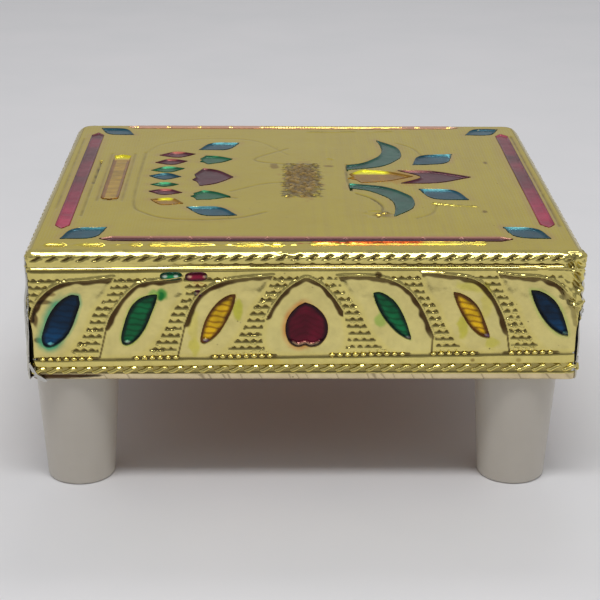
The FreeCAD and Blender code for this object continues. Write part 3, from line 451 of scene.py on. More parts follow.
def niches_of(skirt):
    """Outline and rim of each niche, in millimetres on the skirt."""
    front = skirt.quarter == 0
    found = []
    for side in (-1, 1):
        for k in range(3):
            x = -(CENTRE_PITCH + k * SIDE_PITCH) * skirt.squeeze
            rim = curve_through(FRONT_RIMS[side, k] if front else drawn(skirt, NICHE_RIM, x, -side), 6)
            back = drawn(skirt, curve_through(NICHE_BACK, 6), x, -side)
            foot = drawn(skirt, ((-0.54, 0.0),), x, -side)
            found.append((np.vstack([rim, back, foot]), rim))
    left = drawn(skirt, curve_through(OGEE_RIM, 6), 0.0)
    rim = curve_through(FRONT_OGEE, 6) if front else np.vstack([left, left[::-1][1:] * (-1, 1)])
    foot = drawn(skirt, curve_through(OGEE_SIDE, 6)[:-4], 0.0)
    found.append((np.vstack([foot, rim, foot[::-1] * (-1, 1)]), rim))
    return found


for skirt in skirts:
    skirt.niches = niches_of(skirt)

# %% [markdown]
# ## Lacquered figures
# Each figure is an outline with a colour. On the front they were laid out one by one
# from the picture, because the sheet was pressed askew; the other three sides
# repeat the plain drawing of the CAD model.

# %% Figures on the skirts and on the top
FRONT_FIGURES = (
    # colour, stretches of the outline between its sharp tips
    ("blue", ((-62.6, -12.9), (-64.7, -12.8), (-67.2, -14.2), (-69.4, -16.4), (-71.2, -19.4), (-72.4, -22.5),
              (-73.2, -25.6), (-72.6, -27.6), (-70.9, -28.0), (-68.4, -26.8), (-66.2, -24.6), (-64.6, -21.8),
              (-63.4, -18.6), (-62.3, -15.4), (-62.6, -12.9))),
    ("green", ((-40.9, -12.6), (-43.4, -12.9), (-46.0, -14.0), (-48.0, -16.0), (-49.3, -18.6), (-50.2, -21.4),
               (-51.0, -24.6), (-50.9, -26.8), (-49.6, -27.4), (-47.6, -26.4), (-45.6, -24.2), (-44.0, -21.4),
               (-42.6, -18.0), (-41.4, -14.8), (-40.9, -12.6))),
    ("yellow", ((-19.3, -12.5), (-21.0, -12.8), (-23.2, -14.0), (-25.2, -16.0), (-26.8, -18.4),
                (-27.9, -20.8), (-28.7, -23.6), (-29.1, -26.0), (-28.2, -26.9), (-26.4, -26.0),
                (-24.4, -24.2), (-22.6, -21.6), (-21.0, -18.4), (-19.8, -15.4), (-19.3, -12.5))),
    ("green", ((18.8, -12.0), (20.6, -11.9), (22.6, -12.8), (24.6, -14.4), (26.2, -16.6), (27.5, -19.2),
               (28.7, -22.4), (29.6, -25.8)),
     ((29.6, -25.8), (27.6, -25.0), (25.2, -23.2), (22.9, -20.6), (21.0, -17.8),
      (19.6, -14.8), (18.8, -12.0))),
    ("yellow", ((41.0, -11.8), (43.2, -12.3), (45.5, -13.6), (47.4, -15.4), (48.8, -17.6), (49.8, -20.0),
                (50.8, -22.6), (51.6, -25.2)),
     ((51.6, -25.2), (49.4, -24.8), (47.2, -23.2), (45.2, -20.8), (43.4, -17.8),
      (42.0, -14.8), (41.0, -11.8))),
    ("blue", ((62.5, -11.3), (64.6, -11.5), (67.0, -12.6), (69.2, -14.4), (71.0, -17.0), (72.2, -20.0),
              (73.1, -22.6), (73.5, -24.6)),
     ((73.5, -24.6), (71.6, -24.2), (69.4, -22.8), (67.2, -20.6), (65.2, -17.8),
      (63.6, -14.6), (62.5, -11.3))),
    ("red", ((0.0, -14.9), (-2.1, -16.1), (-3.9, -18.0), (-5.1, -20.4), (-5.4, -23.0), (-4.9, -25.4),
             (-3.6, -27.2), (-1.8, -27.9), (0.0, -27.3)),
     ((0.0, -27.3), (1.6, -27.9), (3.5, -27.5), (5.1, -26.2), (6.1, -24.2), (6.3, -21.8), (5.6, -19.4),
      (4.2, -17.4), (2.3, -15.8), (0.0, -14.9))),
)
LEAF_COLOURS = {1: ("yellow", "green", "blue"), -1: ("green", "yellow", "blue")}
TOP_FIGURES = (
    # colour, outline, across, up (shares of half the top), length, width, turn, tint
    ("red", BAR, -0.899, 0.065, 0.695, 0.027, 90, "rose"),
    ("red", BAR, 0.912, 0.075, 0.682, 0.028, 90, "rose"),
    ("red", BAR, -0.023, 0.95, 0.756, 0.022, 0, "salmon"),
    ("red", BAR, 0.006, -0.835, 0.753, 0.024, 0, "copper"),
    ("blue", ALMOND, -0.816, 0.862, 0.096, 0.054, -36, "sky"),
    ("blue", ALMOND, 0.831, 0.866, 0.096, 0.054, 33, "sky"),
    ("blue", ALMOND, -0.81, -0.763, 0.104, 0.063, 40, "sky"),
    ("blue", ALMOND, 0.82, -0.752, 0.104, 0.062, -40, "sky"),
    ("yellow", BAR, -0.757, 0.065, 0.325, 0.035, 90, "straw"),
    ("red", ALMOND, -0.525, 0.432, 0.078, 0.043, 8, "claret"),
    ("red", ALMOND, -0.545, 0.306, 0.068, 0.042, 10, "claret"),
    ("green", ALMOND, -0.553, 0.178, 0.071, 0.04, 12, "jade"),
    ("blue", ALMOND, -0.558, 0.066, 0.066, 0.045, -5, "sky"),
    ("green", ALMOND, -0.553, -0.065, 0.058, 0.029, 0, "jade"),
    ("red", ALMOND, -0.543, -0.181, 0.068, 0.04, -8, "claret"),
    ("yellow", ALMOND, -0.53, -0.325, 0.07, 0.045, -20, "amber"),
    ("blue", ALMOND, -0.35, 0.586, 0.104, 0.06, 34, "sky"),
    ("green", PETAL, -0.357, 0.345, 0.071, 0.065, 8, "jade"),
    ("red", PETAL, -0.361, 0.055, 0.083, 0.127, 0, "plum"),
    ("green", PETAL, -0.361, -0.235, 0.078, 0.064, -8, "jade"),
    ("blue", ALMOND, -0.351, -0.463, 0.112, 0.058, -28, "sky"),
    ("yellow", PETAL, 0.325, 0.068, 0.134, 0.096, 0, "amber"),
    ("red", BUD, 0.55, 0.06, 0.147, 0.094, 0, "plum"),
    ("blue", ALMOND, 0.564, 0.352, 0.124, 0.072, 42, "sky"),
    ("blue", ALMOND, 0.561, -0.214, 0.118, 0.07, -38, "sky"),
)
VEIN_TINTS = {"red": (0.8, 0.6, 0.7), "blue": (0.5, 0.6, 0.6), "green": (0.3, 0.5, 0.45),
              "yellow": (0.4, 0.3, 0.2)}
TOP_TINTS = {
    # what the lacquer's own colour is multiplied by where it lies thin and pale
    "rose": (1.2, 11.0, 2.6), "claret": (0.73, 5.2, 1.7), "copper": (0.42, 0.5, 0.55),
    # salmon, on the rear bar, turns its red lacquer pale as a painted highlight
    "salmon": (5.4, 140.0, 15.0), "plum": (0.63, 4.6, 1.5), "sky": (4.0, 2.6, 1.0),
    "jade": (3.4, 0.7, 1.0), "moss": (9.8, 0.6, 1.4), "straw": (0.88, 0.92, 5.5), "amber": (0.53, 0.45, 2.0),
}
WALL_HIGHLIGHTS = {
    # painted highlight colour on the far wall, where the light would strike it
    "rose": (0.8, 0.25, 0.3), "claret": (0.7, 0.2, 0.14), "copper": (0.85, 0.42, 0.3),
    "salmon": (0.95, 0.6, 0.45), "plum": (0.75, 0.3, 0.26), "sky": (0.2, 0.65, 0.7),
    "jade": (0.12, 0.7, 0.3), "moss": (0.1, 0.62, 0.36), "straw": (0.9, 0.8, 0.2), "amber": (0.9, 0.75, 0.12),
}
MANGO_ROOT = (0.192 * HALF_X, 0.056 * HALF_Y)
MANGO_ACROSS = 0.292 * 2 * HALF_X
MANGO_REACH = {1: 0.292 * 2 * HALF_X, -1: 0.268 * 2 * HALF_X}


def figures_of(skirt):
    """(colour, outline) of each lacquered figure, in true millimetres."""
    leaf, heart = outline_of(LEAF), outline_of(HEART)
    found = []
    if skirt.quarter == 0:
        return [(colour, outline_of(stretches, 5)) for colour, *stretches in FRONT_FIGURES]
    for mirror, colours in LEAF_COLOURS.items():
        for k, colour in enumerate(colours):
            x = -(CENTRE_PITCH + k * SIDE_PITCH) * skirt.squeeze
            found.append((colour, turned(leaf, x, -20.0, 17.2, 6.3 * skirt.squeeze, 57.7, mirror)))
    found.append(("red", turned(heart, 0, -21.3, 12.6 * skirt.squeeze, 12.6, 0)))
    return found


def top_figures():
    found = []
    wide = 2 * HALF_X
    for colour, shape, across, up, length, width, degrees, tint in TOP_FIGURES:
        outline = turned(outline_of(shape), across * HALF_X, up * HALF_Y, length * wide, width * wide,
                         degrees)
        found.append((colour, outline, tint))
    for side, reach in MANGO_REACH.items():
        points = outline_of(MANGO) * (MANGO_ACROSS, side * reach) + MANGO_ROOT
        found.append(("green", points if side < 0 else points[::-1], "moss"))
    return found


for skirt in skirts:
    skirt.figures = figures_of(skirt)
top_outlines = top_figures()
print("figures:", sum(len(skirt.figures) for skirt in skirts), "on the skirts,", len(top_outlines), "on top")

# %% [markdown]
# ## Relief of a skirt
# The sheet is a height field: ropes, plain lines and rims stand out, niches are
# scoops that are deepest under their rims, and the ground under the fish scales
# is a row of small ledges. Crumples and creases are added last.


# %% Niches: rims, scoops and the painted shade under each rim
def niche_floor(skirt, u, y):
    """Height, distance from the nearest niche (negative inside) and the painted shade under its rim."""
    height, clear, shade = np.zeros_like(u), np.full_like(u, 9.0), np.zeros_like(u)
    ogee = skirt.niches[-1][1]
    for outline, rim in skirt.niches:
        near = close_by(u, y, outline, 2.0)
        if not near.any():
            continue
        x, v = u[near], y[near]
        inside = is_inside(x, v, outline)
        to_rim, to_edge = distance_to(x, v, rim), distance_to(x, v, closed(outline))
        level = np.clip((v - FIELD_FOOT) / FIELD_HEIGHT, 0.0, 1.0)
        uneven = ripple(x, v, 2.1, 51)
        scoop = -(0.08 + 0.4 * level) * soft((to_rim - 0.05) / 0.8) * soft(to_edge / 1.8)
        scoop *= soft((9.0 - to_rim) / 8.0)
        waves = 0.035 * ripple(x, v, 1.7, 52) + 0.03 * ripple(x, v, 4.0, 53)
        lip = (0.55 + 0.1 * uneven) * np.clip(1 - to_rim / np.where(inside, 0.3, 0.56), 0.0, 1.0)
        height[near] += np.where(inside, scoop + waves * soft(to_edge / 0.8), 0.0) + lip
        clear[near] = np.minimum(clear[near], np.where(inside, -to_edge, to_edge))
        # under: a dark band painted just inside the rim as its shade
        under = soft((1.75 + 0.45 * uneven - to_rim) / 0.45) * soft((to_rim - 0.03) / 0.15) * inside
        under *= (0.98 - 0.16 * soft((v + 9.6) / 1.6) + 0.04 * uneven) * soft(level / 0.35)
        if rim is not ogee:
            wall = distance_to(x, v, np.array([rim[0], outline[-1]]))
            height[near] += 0.16 * ridge(wall, 0.45)
            # crease: shade painted along the side wall
            crease = soft((0.7 - wall) / 0.2) * soft((wall - 0.05) / 0.1)
            under = np.maximum(under, 0.85 * crease * inside)
        shade[near] = np.maximum(shade[near], under)
    return height, clear, shade


# %% [markdown]
# The ground between the niches is pressed with fish scales. What the eye reads
# is the slot under each row: a thin dark line with a small peak where two round
# scales meet. The slots are cut here and painted dark as their shade; the scales
# themselves come later.

# %% Slots under the fish scales
SCALE_START, SCALE_PITCH, SCALE_WIDTH = -7.95, 2.04, 2.2
FRONT_BEADS = ((-75.0, -58.0), (-47.8, -35.6), (-26.0, -8.3), (7.3, 29.0), (35.5, 48.2), (56.0, 70.8))


def scale_slots(skirt, u, v, clear):
    row = np.ceil((SCALE_START - v) / SCALE_PITCH)
    above = v - (SCALE_START - row * SCALE_PITCH)
    pitch = SCALE_WIDTH * skirt.squeeze
    place = np.mod(np.abs(u) / pitch - 0.5 * np.mod(row - 1, 2), 1.0)
    peak = np.maximum(1 - np.abs(place - 0.5) * 2.6, 0.0)
    tall = 0.36 - 0.1 * soft(u / 20.0 + 0.5) + 0.56 * peak
    slot = soft((tall - above) / 0.12) * soft(above / 0.08 + 0.7)
    return slot * shelf(v, FIELD_FOOT + 0.9, SCALE_START + 0.75, 0.1) * soft((clear - 0.25) / 0.35)


# %% Commas between the strands of the rope
STRAND_PITCH, FIRST_COMMA = 4.2, -73.7
COMMA = curve_through(((-1.6, -2.1), (-0.9, -2.08), (0.0, -1.7), (0.75, -1.35), (1.55, -1.25)), 4)


def commas(skirt, u, v):
    pitch = STRAND_PITCH * skirt.squeeze
    x = (np.mod((u - FIRST_COMMA * skirt.squeeze) / pitch + 0.5, 1.0) - 0.5) * STRAND_PITCH
    thick = 0.5 * (1 - 0.8 * np.abs(x / 1.6) ** 1.5)
    reach = distance_to(x, v, COMMA)
    return soft((thick - reach) / 0.16), reach, x


# %% Height of the foil on a skirt
POCKET = 0.38
LOWEST_FOIL = -SKIN + 0.06
# levels of the pattern below the top face
GROOVE, PLAIN_RIDGE, RIDGE_SHADE = (-4.05, -3.62), -4.65, -5.25
BEAD_GROOVE, BEAD_ROW, SWELL = (-31.1, -30.7), -30.5, -32.3
ROPE_BED, LOWER_ROPE, HEM_LINE = (-35.35, -33.5), -34.45, -35.5
HEM_TUCK = ((-76.0, -68.0, -56.0), (-38.7, -38.1, -36.7))


def skirt_relief(skirt, u, y):
    """Height of the foil, the shade painted dark in its creases and grooves, and distance from the niches."""
    front, seed = skirt.quarter == 0, 10 + skirt.quarter
    v = y + skew(skirt, u, y)
    height, clear, shade = niche_floor(skirt, u, y)
    flat = 1 - soft(2 * crumple(skirt, u, y)[0])
    comma, reach, strand = commas(skirt, u, v)
    right = soft((u / HALF_X + 0.65) / 0.4) if front else 0.7 + 0 * u
    beaded = sum(shelf(u, *row, 1.0) for row in FRONT_BEADS) if front else soft((clear - 0.1) / 0.3)
    teeth = 0.26 * soft(1 - np.abs(strand) / 0.9)
    crease = np.abs(ripple(u + 0.5 * y, y * 0.2, 2.7, seed + 60))
    # each mark is pressed into the foil and painted dark as the shade in its hollow
    marks = [
        # share, depth, darkness of the shade painted in it
        (scale_slots(skirt, u, v, clear) * flat, 0.42, 0.8),
        (comma, 0.4, 0.93),
        (shelf(v, GROOVE[0], GROOVE[1] + teeth, 0.2) * right * flat, 0.36, 0.85),
        (ridge(v - RIDGE_SHADE, 0.38) * (1 - 0.6 * right), 0.3, 0.8),
        (shelf(v, BEAD_GROOVE[0], BEAD_GROOVE[1] + 0.5 * beaded, 0.2) * (0.65 + 0.35 * beaded), 0.34, 0.85),
        (shelf(v, *ROPE_BED, 0.3), 0.22, 0.5),
        (ridge(v - HEM_LINE, 0.35), 0.2, 0.75),
        (soft((-35.6 - y) / 0.8) * ridge(crease, 0.12), 0.2, 0.5),
    ]
    if front:
        lowest = np.interp(u, *HEM_TUCK) + 0.25
        marks.append((soft((-56.0 - u) / 2.0) * shelf(y, lowest, -36.45, 0.25), 0.3, 1.0))
    for mark, depth, dark in marks:
        height -= depth * mark
        shade = np.maximum(shade, dark * mark)
    for _, outline in skirt.figures:
        height -= POCKET * soft((depth_inside(u, y, outline) + 0.1) / 0.32)
    height += (0.1 + 0.1 * soft(reach / 0.9) * soft((-v - 1.2) / 0.8)) * soft((v + 3.35) / 0.7)
    height += 0.012 * shelf(v, -1.4, 0.4, 0.5) * np.cos(strand * math.tau / STRAND_PITCH)
    height += (0.42 - 0.2 * soft((u - 57.0) / 4.0) * front) * ridge(v - PLAIN_RIDGE, 0.5)
    height += 0.08 * ridge(v - SWELL, 1.3)
    calm = 0.35 + 0.65 * soft((-y - 1.2) / 0.8)
    height += 0.04 * ripple(u, 0 * y, 3.6, 71) * soft((-y - 0.5) / 0.9) + 0.06 * ripple(u, y, 7.0, seed)
    height += calm * (0.03 * ripple(u, y, 2.3, seed + 20) + 0.014 * ripple(u, y, 0.9, seed + 40))
    if front:
        dents = spot(u, v, (65.3, -4.9), (2.6, 0.8)) + spot(u, y, (59.8, -7.0), (1.8, 0.7))
        wave = spot(u, y, (-5.5, -1.0), (4.2, 1.3))
        height += 0.35 * dents + 0.4 * wave * (0.6 + ripple(u * 0.7, y * 1.3, 0.8, 63))
    return np.maximum(height, LOWEST_FOIL), shade, clear


# %% [markdown]
# ## Turning the height field into a sheet
# Rows run from a seam on the top face, round the bend, down the skirt, round
# the rolled hem and in under the box. A few back rows of bare silver foil close
# the sheet, so it has a thickness at every cut edge.


# %% Profile rows of a skirt
# the bend is an oval a little squarer than a circle
BEND_ROWS, BEND_POWER, FACING_POWER = 12, 1.76, 0.24


def profile_rows(step):
    """(outset, drop, outward share, upward share) for each row, and the back rows."""
    rows = [(-inset, 0.0, 0.0, 1.0) for inset in (SEAM, SEAM - 0.03)]
    for angle in np.linspace(0.0, math.pi / 2, BEND_ROWS):
        across, down = math.sin(angle), max(math.cos(angle), 0.0)
        outward, upward = across ** FACING_POWER, down ** FACING_POWER
        facing = math.hypot(outward, upward)
        rows.append((-BEND + BEND * across ** BEND_POWER, BEND - BEND * down ** BEND_POWER,
                     outward / facing, upward / facing))
    first = len(rows) - 1
    low = TALL + HEM_HANG
    fine = np.linspace(BEND, low - HEM_ROUND, 2000)
    density = 1.0 + 0.9 * shelf(fine, 3.4, 5.6, 0.4) + 0.35 * (fine < 3.4)
    density += 0.2 * shelf(fine, 30.0, 37.0, 0.5)
    total = np.cumsum(density)
    count = int(round(total[-1] / 2000 * (low - BEND - HEM_ROUND) / step))
    for drop in np.interp(np.linspace(total[0], total[-1], count + 1)[1:], total, fine):
        rows.append((0.0, drop, 1.0, 0.0))
    last = len(rows) - 1
    for angle in np.linspace(0.0, math.pi / 2, 5)[1:]:
        rows.append((-HEM_ROUND + HEM_ROUND * math.cos(angle), low - HEM_ROUND * (1 - math.sin(angle)),
                     math.cos(angle), -math.sin(angle)))
    turned_under = len(rows) - 1
    for inset in np.linspace(HEM_ROUND, HEM_REACH, 10)[1:]:
        rows.append((-inset, TALL + HEM_HANG * float(soft(1 - (inset - HEM_ROUND) / 2.4)), 0.0, -1.0))
    keep = [0, 2, 5, first, *range(first + 12, last - 6, 12), last, turned_under, len(rows) - 1]
    return np.array(rows), keep


def sheet_object(name, front, back, keep, materials, silver_end=0, crisp_row=None):
    """A closed mesh from a front grid and a back grid that share their columns."""
    rows, columns = front.shape[:2]
    points = np.concatenate([front.reshape(-1, 3), back.reshape(-1, 3)]) * MM
    number = np.arange(rows * columns).reshape(rows, columns)
    rear = np.arange(len(keep) * columns).reshape(len(keep), columns) + rows * columns

    def quads(grid):
        return np.stack([grid[:-1, :-1], grid[1:, :-1], grid[1:, 1:], grid[:-1, 1:]], -1).reshape(-1, 4)

    faces = [quads(number), quads(rear)[:, ::-1],
             quads(np.stack([rear[0], number[0]])), quads(np.stack([number[-1], rear[-1]]))]
    split = len(faces[0])
    faces = np.concatenate(faces).tolist()
    for side, grid_edge, rear_edge in ((1, number[:, 0], rear[:, 0]), (-1, number[:, -1], rear[:, -1])):
        for j in range(len(keep) - 1):
            for r in range(keep[j], keep[j + 1]):
                faces.append([grid_edge[r + 1], grid_edge[r], rear_edge[j]][::side])
            faces.append([grid_edge[keep[j + 1]], rear_edge[j], rear_edge[j + 1]][::side])
    mesh = bpy.data.meshes.new(name)
    mesh.from_pydata(points.tolist(), [], [[int(i) for i in face] for face in faces])
    made = add_object(name, mesh, *materials)
    index = np.zeros(len(mesh.polygons), np.int32)
    index[split:] = 1
    if silver_end:
        front_faces = index[:split].reshape(rows - 1, columns - 1)
        front_faces[rows // 4:, slice(-3, None) if silver_end > 0 else slice(0, 3)] = 1
    mesh.polygons.foreach_set("material_index", index)
    mesh.polygons.foreach_set("use_smooth", np.arange(len(index)) < split)
    mesh.update()
    if crisp_row:
        ends = np.zeros(2 * len(mesh.edges), np.int32)
        mesh.edges.foreach_get("vertices", ends)
        mesh.edges.foreach_set("use_edge_sharp", (ends.reshape(-1, 2) // columns == crisp_row).all(1))
    return made


def paint(made, name, colours):
    """Store one colour for each of the first points of a mesh; the rest stay white."""
    layer = made.data.attributes.new(name, "FLOAT_COLOR", "POINT")
    values = np.ones((len(made.data.vertices), 4), np.float32)
    values[:len(colours), :colours.shape[1]] = colours
    layer.data.foreach_set("color", values.ravel())


# %% [markdown]
# ## Foil finish
# Real foil is a mirror broken up by tiny wrinkles, so it is a metal with a pale
# lemon gold colour, a low uneven roughness and two sizes of fine bump. Painted
# shade in the pressed creases, under the rims and in the grooves, some stains,
# and lacquer that was wiped over an edge come from a colour stored on the sheet.

# %% Foil materials
FOIL_GOLD = tone(236, 220, 132)
# the top is the same foil; its deeper gold is a colour shift painted to match how the top looks under this
# light
TOP_GOLD = tone(242, 222, 102)
FOIL_SILVER = tone(200, 200, 196)
# the first colour is the dark brown painted as shade in creases, grooves and under rims
CREASE_SHADE, HEM_PALE = (0.09, 0.052, 0.03), (1.0, 0.97, 1.8)
# metres along y over which the brushed lines of the top fade in
UNLINED_FRONT = (-0.0605, -0.058)


def foil_finish(name, colour, stained_and_shaded, lined=False):
    """Gold or silver foil; the third argument takes the stored stains and painted shade, lined adds brushed
    lines.
    """
    finish = Finish(name, Metallic=1.0, Specular_Tint=(1.0, 0.95, 0.8, 1.0), Coat_Weight=0.25,
                    Coat_Roughness=0.05)
    if stained_and_shaded:
        colour = finish.mix(1.0, colour, finish.stored("stain_and_shade"), "MULTIPLY")
    cloudy = finish.remap(finish.grain(60.0), 0.35, 0.7, 0.0, 0.22)
    colour = finish.mix(cloudy, colour, (0.8, 0.72, 0.6, 1.0), "MULTIPLY")
    cells = wire(finish.tree, "ShaderNodeTexVoronoi", {"Vector": finish.place, "Scale": 330.0}, "Distance")
    few = finish.remap(finish.grain(120.0, 1.0), 0.5, 0.62)
    speck = maths(finish.tree, "MULTIPLY", finish.remap(cells, 0.05, 0.09, 0.75, 0.0), few)
    finish.use("Base Color", finish.mix(speck, colour, (0.12, 0.07, 0.03, 1.0)))
    finish.use("Roughness", finish.cloud(420.0, 0.1, 0.2))
    finish.bump(finish.grain(330.0, 2.0), 0.00014, 0.3)
    if lined:
        waves = wire(finish.tree, "ShaderNodeTexWave", {
            "Vector": finish.place, "Scale": 330.0, "Distortion": 2.2, "Detail": 1.0,
            "Detail Scale": 0.12}, "Fac", bands_direction="X")
        along = wire(finish.tree, "ShaderNodeSeparateXYZ", {"Vector": finish.place}, "Y")
        kept = finish.remap(along, *UNLINED_FRONT)
        finish.bump(maths(finish.tree, "MULTIPLY", waves, kept), 0.00011, 0.7)
    finish.bump(finish.grain(1500.0, 4.0), 0.00004, 0.35)
    return finish.material


gold_foil = foil_finish("gold_foil", FOIL_GOLD, True)
top_foil = foil_finish("gold_foil_top", TOP_GOLD, True, True)
plain_foil = foil_finish("gold_foil_plain", FOIL_GOLD, False)
silver_foil = foil_finish("silver_foil_reverse", FOIL_SILVER, False)

# %% Stains of the front skirt
FRONT_STAINS_AND_SHADE = (
    # middle, half sizes, colour, strength
    ((-39.8, -12.4), (1.5, 1.9), (0.05, 0.5, 0.2), 0.9),
    ((-39.9, -13.0), (0.9, 1.4), (0.02, 0.3, 0.14), 1.0),
    ((-41.8, -12.4), (1.6, 1.0), (0.2, 0.75, 0.3), 0.6),
    ((-29.4, -9.6), (2.2, 0.9), (0.6, 0.2, 0.12), 0.5),
    ((-18.8, -17.0), (1.3, 2.6), (0.72, 0.85, 0.1), 0.75),
    ((-30.6, -28.0), (1.6, 2.4), (0.85, 0.9, 0.2), 0.6),
    ((-31.0, -22.0), (1.4, 5.0), (0.9, 0.9, 0.4), 0.5),
    ((20.9, -20.0), (1.5, 2.0), (0.4, 0.8, 0.3), 0.7),
    ((44.0, -22.0), (1.5, 3.2), (0.75, 0.82, 0.1), 0.7),
    ((46.5, -10.2), (4.6, 1.5), (0.85, 0.9, 0.2), 0.5),
    ((50.4, -14.5), (1.7, 5.0), (0.9, 0.9, 0.35), 0.5),
    ((52.0, -26.8), (1.8, 1.8), (0.82, 0.88, 0.2), 0.6),
    # dark brown spots at the left end: painted shade in the creases there
    ((-75.0, -19.6), (0.9, 2.4), (0.16, 0.1, 0.08), 0.9),
    ((-74.2, -26.0), (1.5, 0.8), (0.16, 0.1, 0.08), 0.85),
    ((-72.0, -14.9), (2.2, 0.6), (0.2, 0.13, 0.1), 0.8),
    ((-70.2, -12.6), (1.6, 0.6), (0.25, 0.15, 0.1), 0.7),
    ((-12.0, -32.6), (7.0, 1.2), (0.95, 0.85, 0.5), 0.6),
    ((20.2, -6.6), (1.0, 0.8), (0.12, 0.07, 0.05), 0.9),
    ((47.0, -32.0), (0.6, 0.5), (0.3, 0.2, 0.1), 0.7),
    ((60.0, -32.0), (0.8, 0.7), (0.4, 0.3, 0.15), 0.6),
)
HALOES = (
    # figure, side of it (-1 left, 1 right, 0 both), width, colour, strength
    (0, -1, 2.2, (0.08, 0.62, 0.9), 0.95),
    (0, 0, 1.0, (0.1, 0.6, 0.8), 0.7),
    (1, 0, 0.8, (0.45, 0.8, 0.3), 0.6),
    (2, 0, 0.5, (0.7, 0.6, 0.2), 0.5),
    (3, 0, 0.6, (0.5, 0.85, 0.4), 0.4),
    (4, 0, 0.5, (0.7, 0.6, 0.2), 0.4),
    (5, 0, 1.2, (0.5, 0.82, 0.5), 0.6),
    (6, -1, 1.6, (0.9, 0.4, 0.25), 0.8),
    (6, 0, 0.5, (0.8, 0.5, 0.3), 0.5),
)


def spotted_colours(u, y, spots):
    """Colour factors for a grid: white, spotted with lacquer; on the front a few dark brown spots are painted
    shade.
    """
    colours = np.ones(u.shape + (3,))
    wobble = 1 + 0.3 * ripple(u, y, 1.4, 90)
    for (x0, y0), (rx, ry), colour, strength in spots:
        reach = np.hypot((u - x0) / rx, (y - y0) / ry) * wobble
        colours = mixed(colours, strength * soft((1.3 - reach) / 0.6), colour)
    return colours


def painted_shade_on(colours, shade):
    """Colours darkened by the brown painted as shade in creases, grooves and under rims."""
    return colours * mixed(1.0, np.clip(shade, 0, 1) ** 0.85, CREASE_SHADE)


def halo_colours(u, y, colours):
    """Lacquer that crept over the edges of some front pockets."""
    for index, side, width, colour, strength in HALOES:
        outline = skirts[0].figures[index][1]
        share = soft(1.15 + depth_inside(u, y, outline) / width)
        share = share * (0.8 + 0.35 * ripple(u, y, 1.7, 91 + index)) * strength
        if side:
            share = share * soft(side * (u - outline[:, 0].mean()) / 4.0 + 0.6)
        colours = mixed(colours, share, colour)
    return colours


# %% Corners: where the skirts part, and where the foil is crushed
# (quarter, end): how far the free edge of that side skirt stands out
CORNER_FLARES = {(3, 1): 0.9, (1, -1): 0.3, (1, 1): 0.5, (3, -1): 0.5}
SHUT_AT_HEM = ((0, 1), (1, -1))


def corner_pull(skirt, u, y):
    """Sideways pull and outward flare where the skirts part at the corners."""
    open_down = soft((-y - 9.0) / 20.0)
    shift, flare = np.zeros_like(u), np.zeros_like(u)
    for end, inward in ((-1, u - skirt.first), (1, skirt.last - u)):
        near = soft(1 - inward / 3.5) * open_down
        shut = 1 - 0.9 * soft((-y - 31.5) / 3.5) * ((skirt.quarter, end) in SHUT_AT_HEM)
        if skirt.quarter % 2 == 0:
            shift -= end * (0.65 if end > 0 or skirt.quarter else 0.12) * near * shut
            flare -= 0.25 * near
        else:
            flare += CORNER_FLARES[skirt.quarter, end] * near * shut * (1 + 0.3 * ripple(u, y, 5.0, 77))
    return shift, flare


def crumple(skirt, u, y):
    """Share, height and painted shade in the creases of the gathered foil at the upper right front corner."""
    if skirt.quarter > 1:
        return 0 * u, 0 * u, 0 * u
    near = 0.6 * soft((-62.0 - u) / 4.0) if skirt.quarter else soft((u - 69.5) / 4.5)
    share = near * soft((y + 21.0) / 6.0) * soft((-y - 0.1) / 1.2)
    folds = np.abs(ripple(u * 1.1 + 0.7 * y, 0.6 * y - 0.2 * u, 2.1, 31))
    steps = ripple(0.6 * u - 0.7 * y, y + 0.5 * u, 2.7, 34)
    height = 0.85 - 1.7 * folds + 0.5 * np.abs(steps)
    return share, share * height, share * 0.5 * soft((folds - 0.4) / 0.15)


# %% Build the four skirts
# quarter: step along the skirt, step down it
SKIRT_STEPS = {0: (0.29, 0.285), 1: (0.36, 0.38), 2: (0.42, 0.42), 3: (0.36, 0.38)}
SILVER_ENDS = {3: 1, 1: -1}
FLAT_TO_BEND = 2


